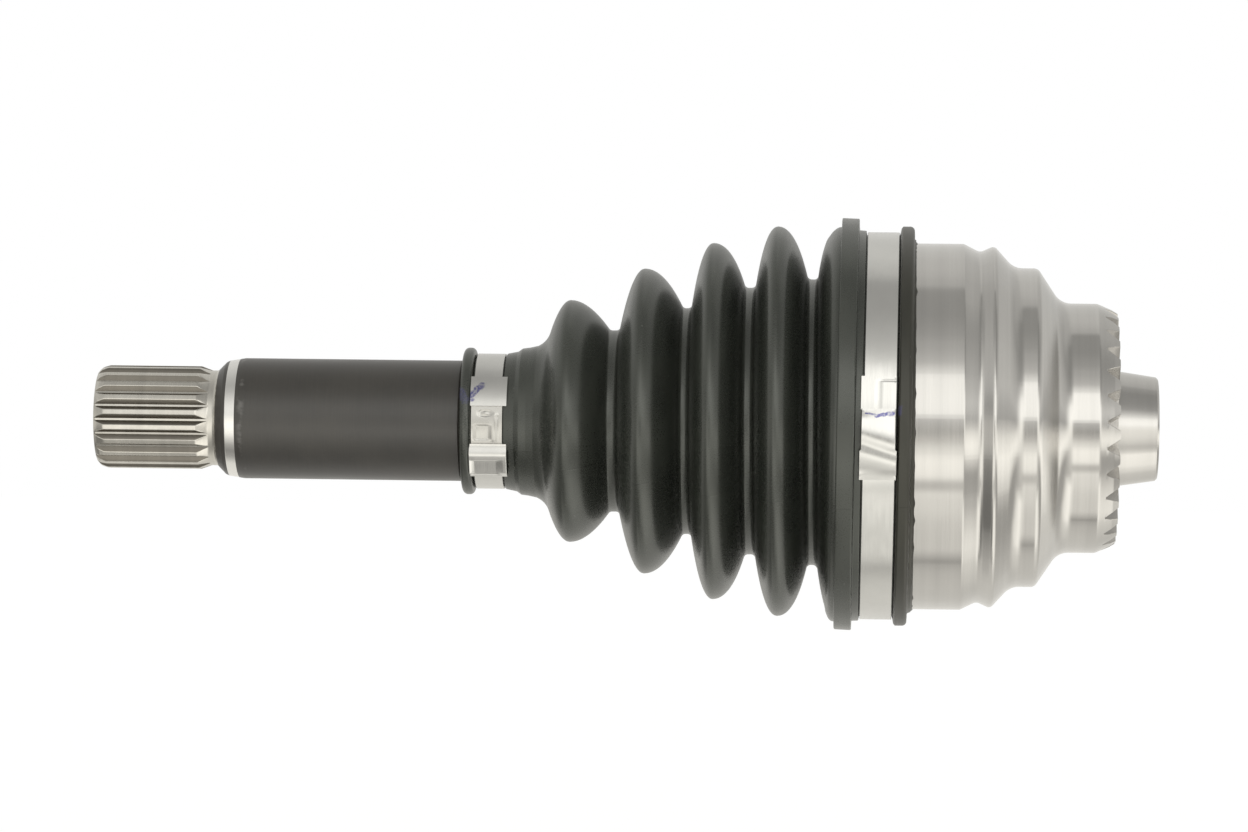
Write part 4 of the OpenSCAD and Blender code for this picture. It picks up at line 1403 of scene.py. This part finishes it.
@dataclass
class Studio:
    """Pale studio with long softboxes above and below the camera, a white backdrop and a pale floor.

    Each line of levels holds (place, brightness). The place is the angle about the object's axis in degrees or, in
    right and left, the height of the direction, from -1 to 1.
    """

    floor_z: float = -0.125
    floor_x: float = -0.12
    floor_half: float = 6.0
    floor_glow: float = 0.82
    sensor: float = 36.0
    far: float = 50.0
    lens: float = 148.56
    focal_px: float = 5150
    turn_px: float = 254
    roll: float = 0.69
    stand: Corner = (-0.0579, -1.297, 0.0017)
    tint: Corner = (1.0, 0.99, 0.955)
    low_tint: Corner = (1.0, 0.98, 0.925)
    around: Levels = (
        (-180, 0.86), (-116, 0.86), (-103, 0.79), (-95.5, 0.62), (-92.5, 0.48), (-88, 0.9),
        (-83, 1.15), (-63, 1.22), (-54, 1.34), (-41, 1.4), (-38, 0.8), (-35, 0.85),
        (-31.5, 1.62), (-22, 1.7), (-15, 1.36), (-9, 0.74), (-3, 0.44), (3, 0.74),
        (9, 1.8), (31, 1.86), (36, 1.36), (40, 0.85), (48, 0.7), (63, 0.52),
        (74, 0.44), (95, 0.42), (99.5, 0.68), (116, 0.78), (180, 0.78),
    )
    spigot: Levels = (
        (-180, 0.8), (-138, 0.82), (-110, 1.1), (-97, 1.6), (-57, 1.66), (-50, 1.1),
        (-43, 0.84), (-29, 1.0), (-16, 1.25), (-3, 1.5), (10, 1.75), (20, 1.6),
        (30, 0.8), (40, 0.45), (55, 0.37), (80, 0.37), (92, 0.5), (105, 0.62),
        (124, 0.66), (180, 0.7),
    )
    shaft: Levels = (
        (-180, 0.86), (-125, 0.87), (-103, 0.81), (-85, 0.4), (-70, 0.27), (-56, 0.45),
        (-43, 0.85), (-30, 1.35), (-18, 1.5), (-6, 1.35), (6, 1.05), (18, 1.05),
        (30, 0.9), (43, 0.7), (56, 0.52), (70, 0.45), (85, 0.5), (103, 0.6),
        (125, 0.7), (180, 0.8),
    )
    right: Levels = (
        (-1, 0.9), (-0.8, 1.2), (-0.62, 0.6), (-0.38, 0.55), (-0.26, 1.4), (-0.16, 1.7),
        (-0.05, 1.3), (0.04, 0.6), (0.2, 0.85), (0.45, 0.68), (0.7, 0.5), (1, 0.8),
    )
    left: Levels = (
        (-1, 0.9), (-0.88, 0.8), (-0.78, 0.27), (-0.6, 0.26), (-0.35, 0.35), (-0.17, 0.75),
        (0, 0.75), (0.2, 0.5), (0.37, 0.7), (0.5, 0.7), (0.79, 0.6), (1, 0.5),
    )

    def ramp(self, recipe: "WorldRecipe", value: Socket, levels: Levels, limit: float) -> Socket:
        """Returns the brightness for a value, read off a line of levels from -limit to limit, at half strength."""
        node = recipe.add("ShaderNodeValToRGB", {"Fac": recipe.span(value, -limit, limit)})
        stops = node.color_ramp.elements
        for i, (at, level) in enumerate(levels):
            share = (at + limit) / (2 * limit)
            stop = stops[i] if i < 2 else stops.new(share)
            stop.position = share
            tint = self.tint if at > 0 else self.low_tint
            stop.color = (*(level / 2 * part for part in tint), 1)
        return node.outputs["Color"]

    def light(self) -> None:
        """Makes the world: its brightness follows the angle about the object's axis, in five zones along the axis."""
        r = WorldRecipe()
        way = r.add("ShaderNodeSeparateXYZ", {0: r.add("ShaderNodeTexCoord").outputs["Generated"]}).outputs
        angle = r.math("DEGREES", r.math("ARCTAN2", way["Z"], r.math("MULTIPLY", way["Y"], -1.0)))
        level = self.ramp(r, angle, self.around, 180)
        zones = (
            (0.12, 0.3, angle, self.spigot, 180),
            (0.42, 0.8, way["Z"], self.right, 1),
            (-0.01, -0.07, angle, self.shaft, 180),
            (-0.4, -0.58, way["Z"], self.left, 1),
        )
        for start, full, value, levels, limit in zones:
            level = r.mix(r.span(way["X"], start, full), level, self.ramp(r, value, levels, limit))
        studio = r.add("ShaderNodeBackground", {"Color": level, "Strength": 2.0}).outputs[0]
        white = r.add("ShaderNodeBackground", {"Color": (1, 1, 1, 1), "Strength": 1.0}).outputs[0]
        seen = r.add("ShaderNodeLightPath").outputs["Is Camera Ray"]
        both = r.add("ShaderNodeMixShader", {0: seen, 1: studio, 2: white}).outputs[0]
        r.add("ShaderNodeOutputWorld", {"Surface": both})

    def floor(self) -> bpy.types.Object:
        """Makes the floor: white to the camera apart from the object's shadow, and see-through to reflections."""
        r = Recipe("pale floor")
        dull = r.add("ShaderNodeBsdfDiffuse", {"Color": (0.9, 0.9, 0.89, 1)}).outputs[0]
        glow = r.add("ShaderNodeEmission", {"Color": (1, 1, 1, 1), "Strength": 1.1}).outputs[0]
        clear = r.add("ShaderNodeBsdfTransparent").outputs[0]
        rays = r.add("ShaderNodeLightPath").outputs
        pale = r.add("ShaderNodeMixShader", {0: self.floor_glow, 1: dull, 2: glow}).outputs[0]
        shown = r.add("ShaderNodeMixShader", {0: rays["Is Camera Ray"], 1: dull, 2: pale}).outputs[0]
        through = r.math("MAXIMUM", rays["Is Glossy Ray"], rays["Is Transmission Ray"])
        last = r.add("ShaderNodeMixShader", {0: through, 1: shown, 2: clear}).outputs[0]
        r.add("ShaderNodeOutputMaterial", {"Surface": last})
        side = np.array([-1.0, 1.0])
        x, y = np.meshgrid(side * self.floor_half, side * self.floor_half, indexing="ij")
        points = np.stack([x + self.floor_x, y, 0 * x + self.floor_z], -1) / MM
        floor = build("floor", [Patch(points, closed_columns=False)], [r.material])
        return floor

    def camera(self) -> bpy.types.Object:
        """Sets the camera at the photograph's angle: level, 1.3 m away, turned and rolled a little."""
        data = bpy.data.cameras.new("camera")
        data.sensor_width = self.sensor
        data.lens = self.lens
        data.clip_end = self.far
        camera = bpy.data.objects.new("camera", data)
        turn = Matrix.Rotation(math.atan(self.turn_px / self.focal_px), 4, "Z") @ Matrix.Rotation(math.pi / 2, 4, "X")
        roll = Matrix.Rotation(math.radians(self.roll), 4, "Z")
        camera.matrix_world = Matrix.Translation(self.stand) @ turn @ roll
        bpy.context.scene.collection.objects.link(camera)
        bpy.context.scene.camera = camera
        return camera


class WorldRecipe(Recipe):
    """The world's node tree, built with the same short methods as a material's."""

    def __init__(self) -> None:
        """Starts an empty world and makes it the scene's."""
        world = bpy.data.worlds.new("studio")
        world.use_nodes = True
        self.tree = world.node_tree
        self.tree.nodes.clear()
        bpy.context.scene.world = world


def main() -> None:
    """Builds the studio and every piece, in order."""
    logging.basicConfig(level=logging.INFO, format="%(message)s")
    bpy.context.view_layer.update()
    bpy.context.scene.view_settings.view_transform = "Standard"
    studio = Studio()
    studio.camera()
    studio.light()
    studio.floor()
    JointInside().dress()
    for assembly in (Bell(), Bar(), Boot(), SmallClamp(), LargeClamp()):
        piece = assembly.make()
        LOG.info("%s is in place", piece.name)


if __name__ == "__main__":
    main()
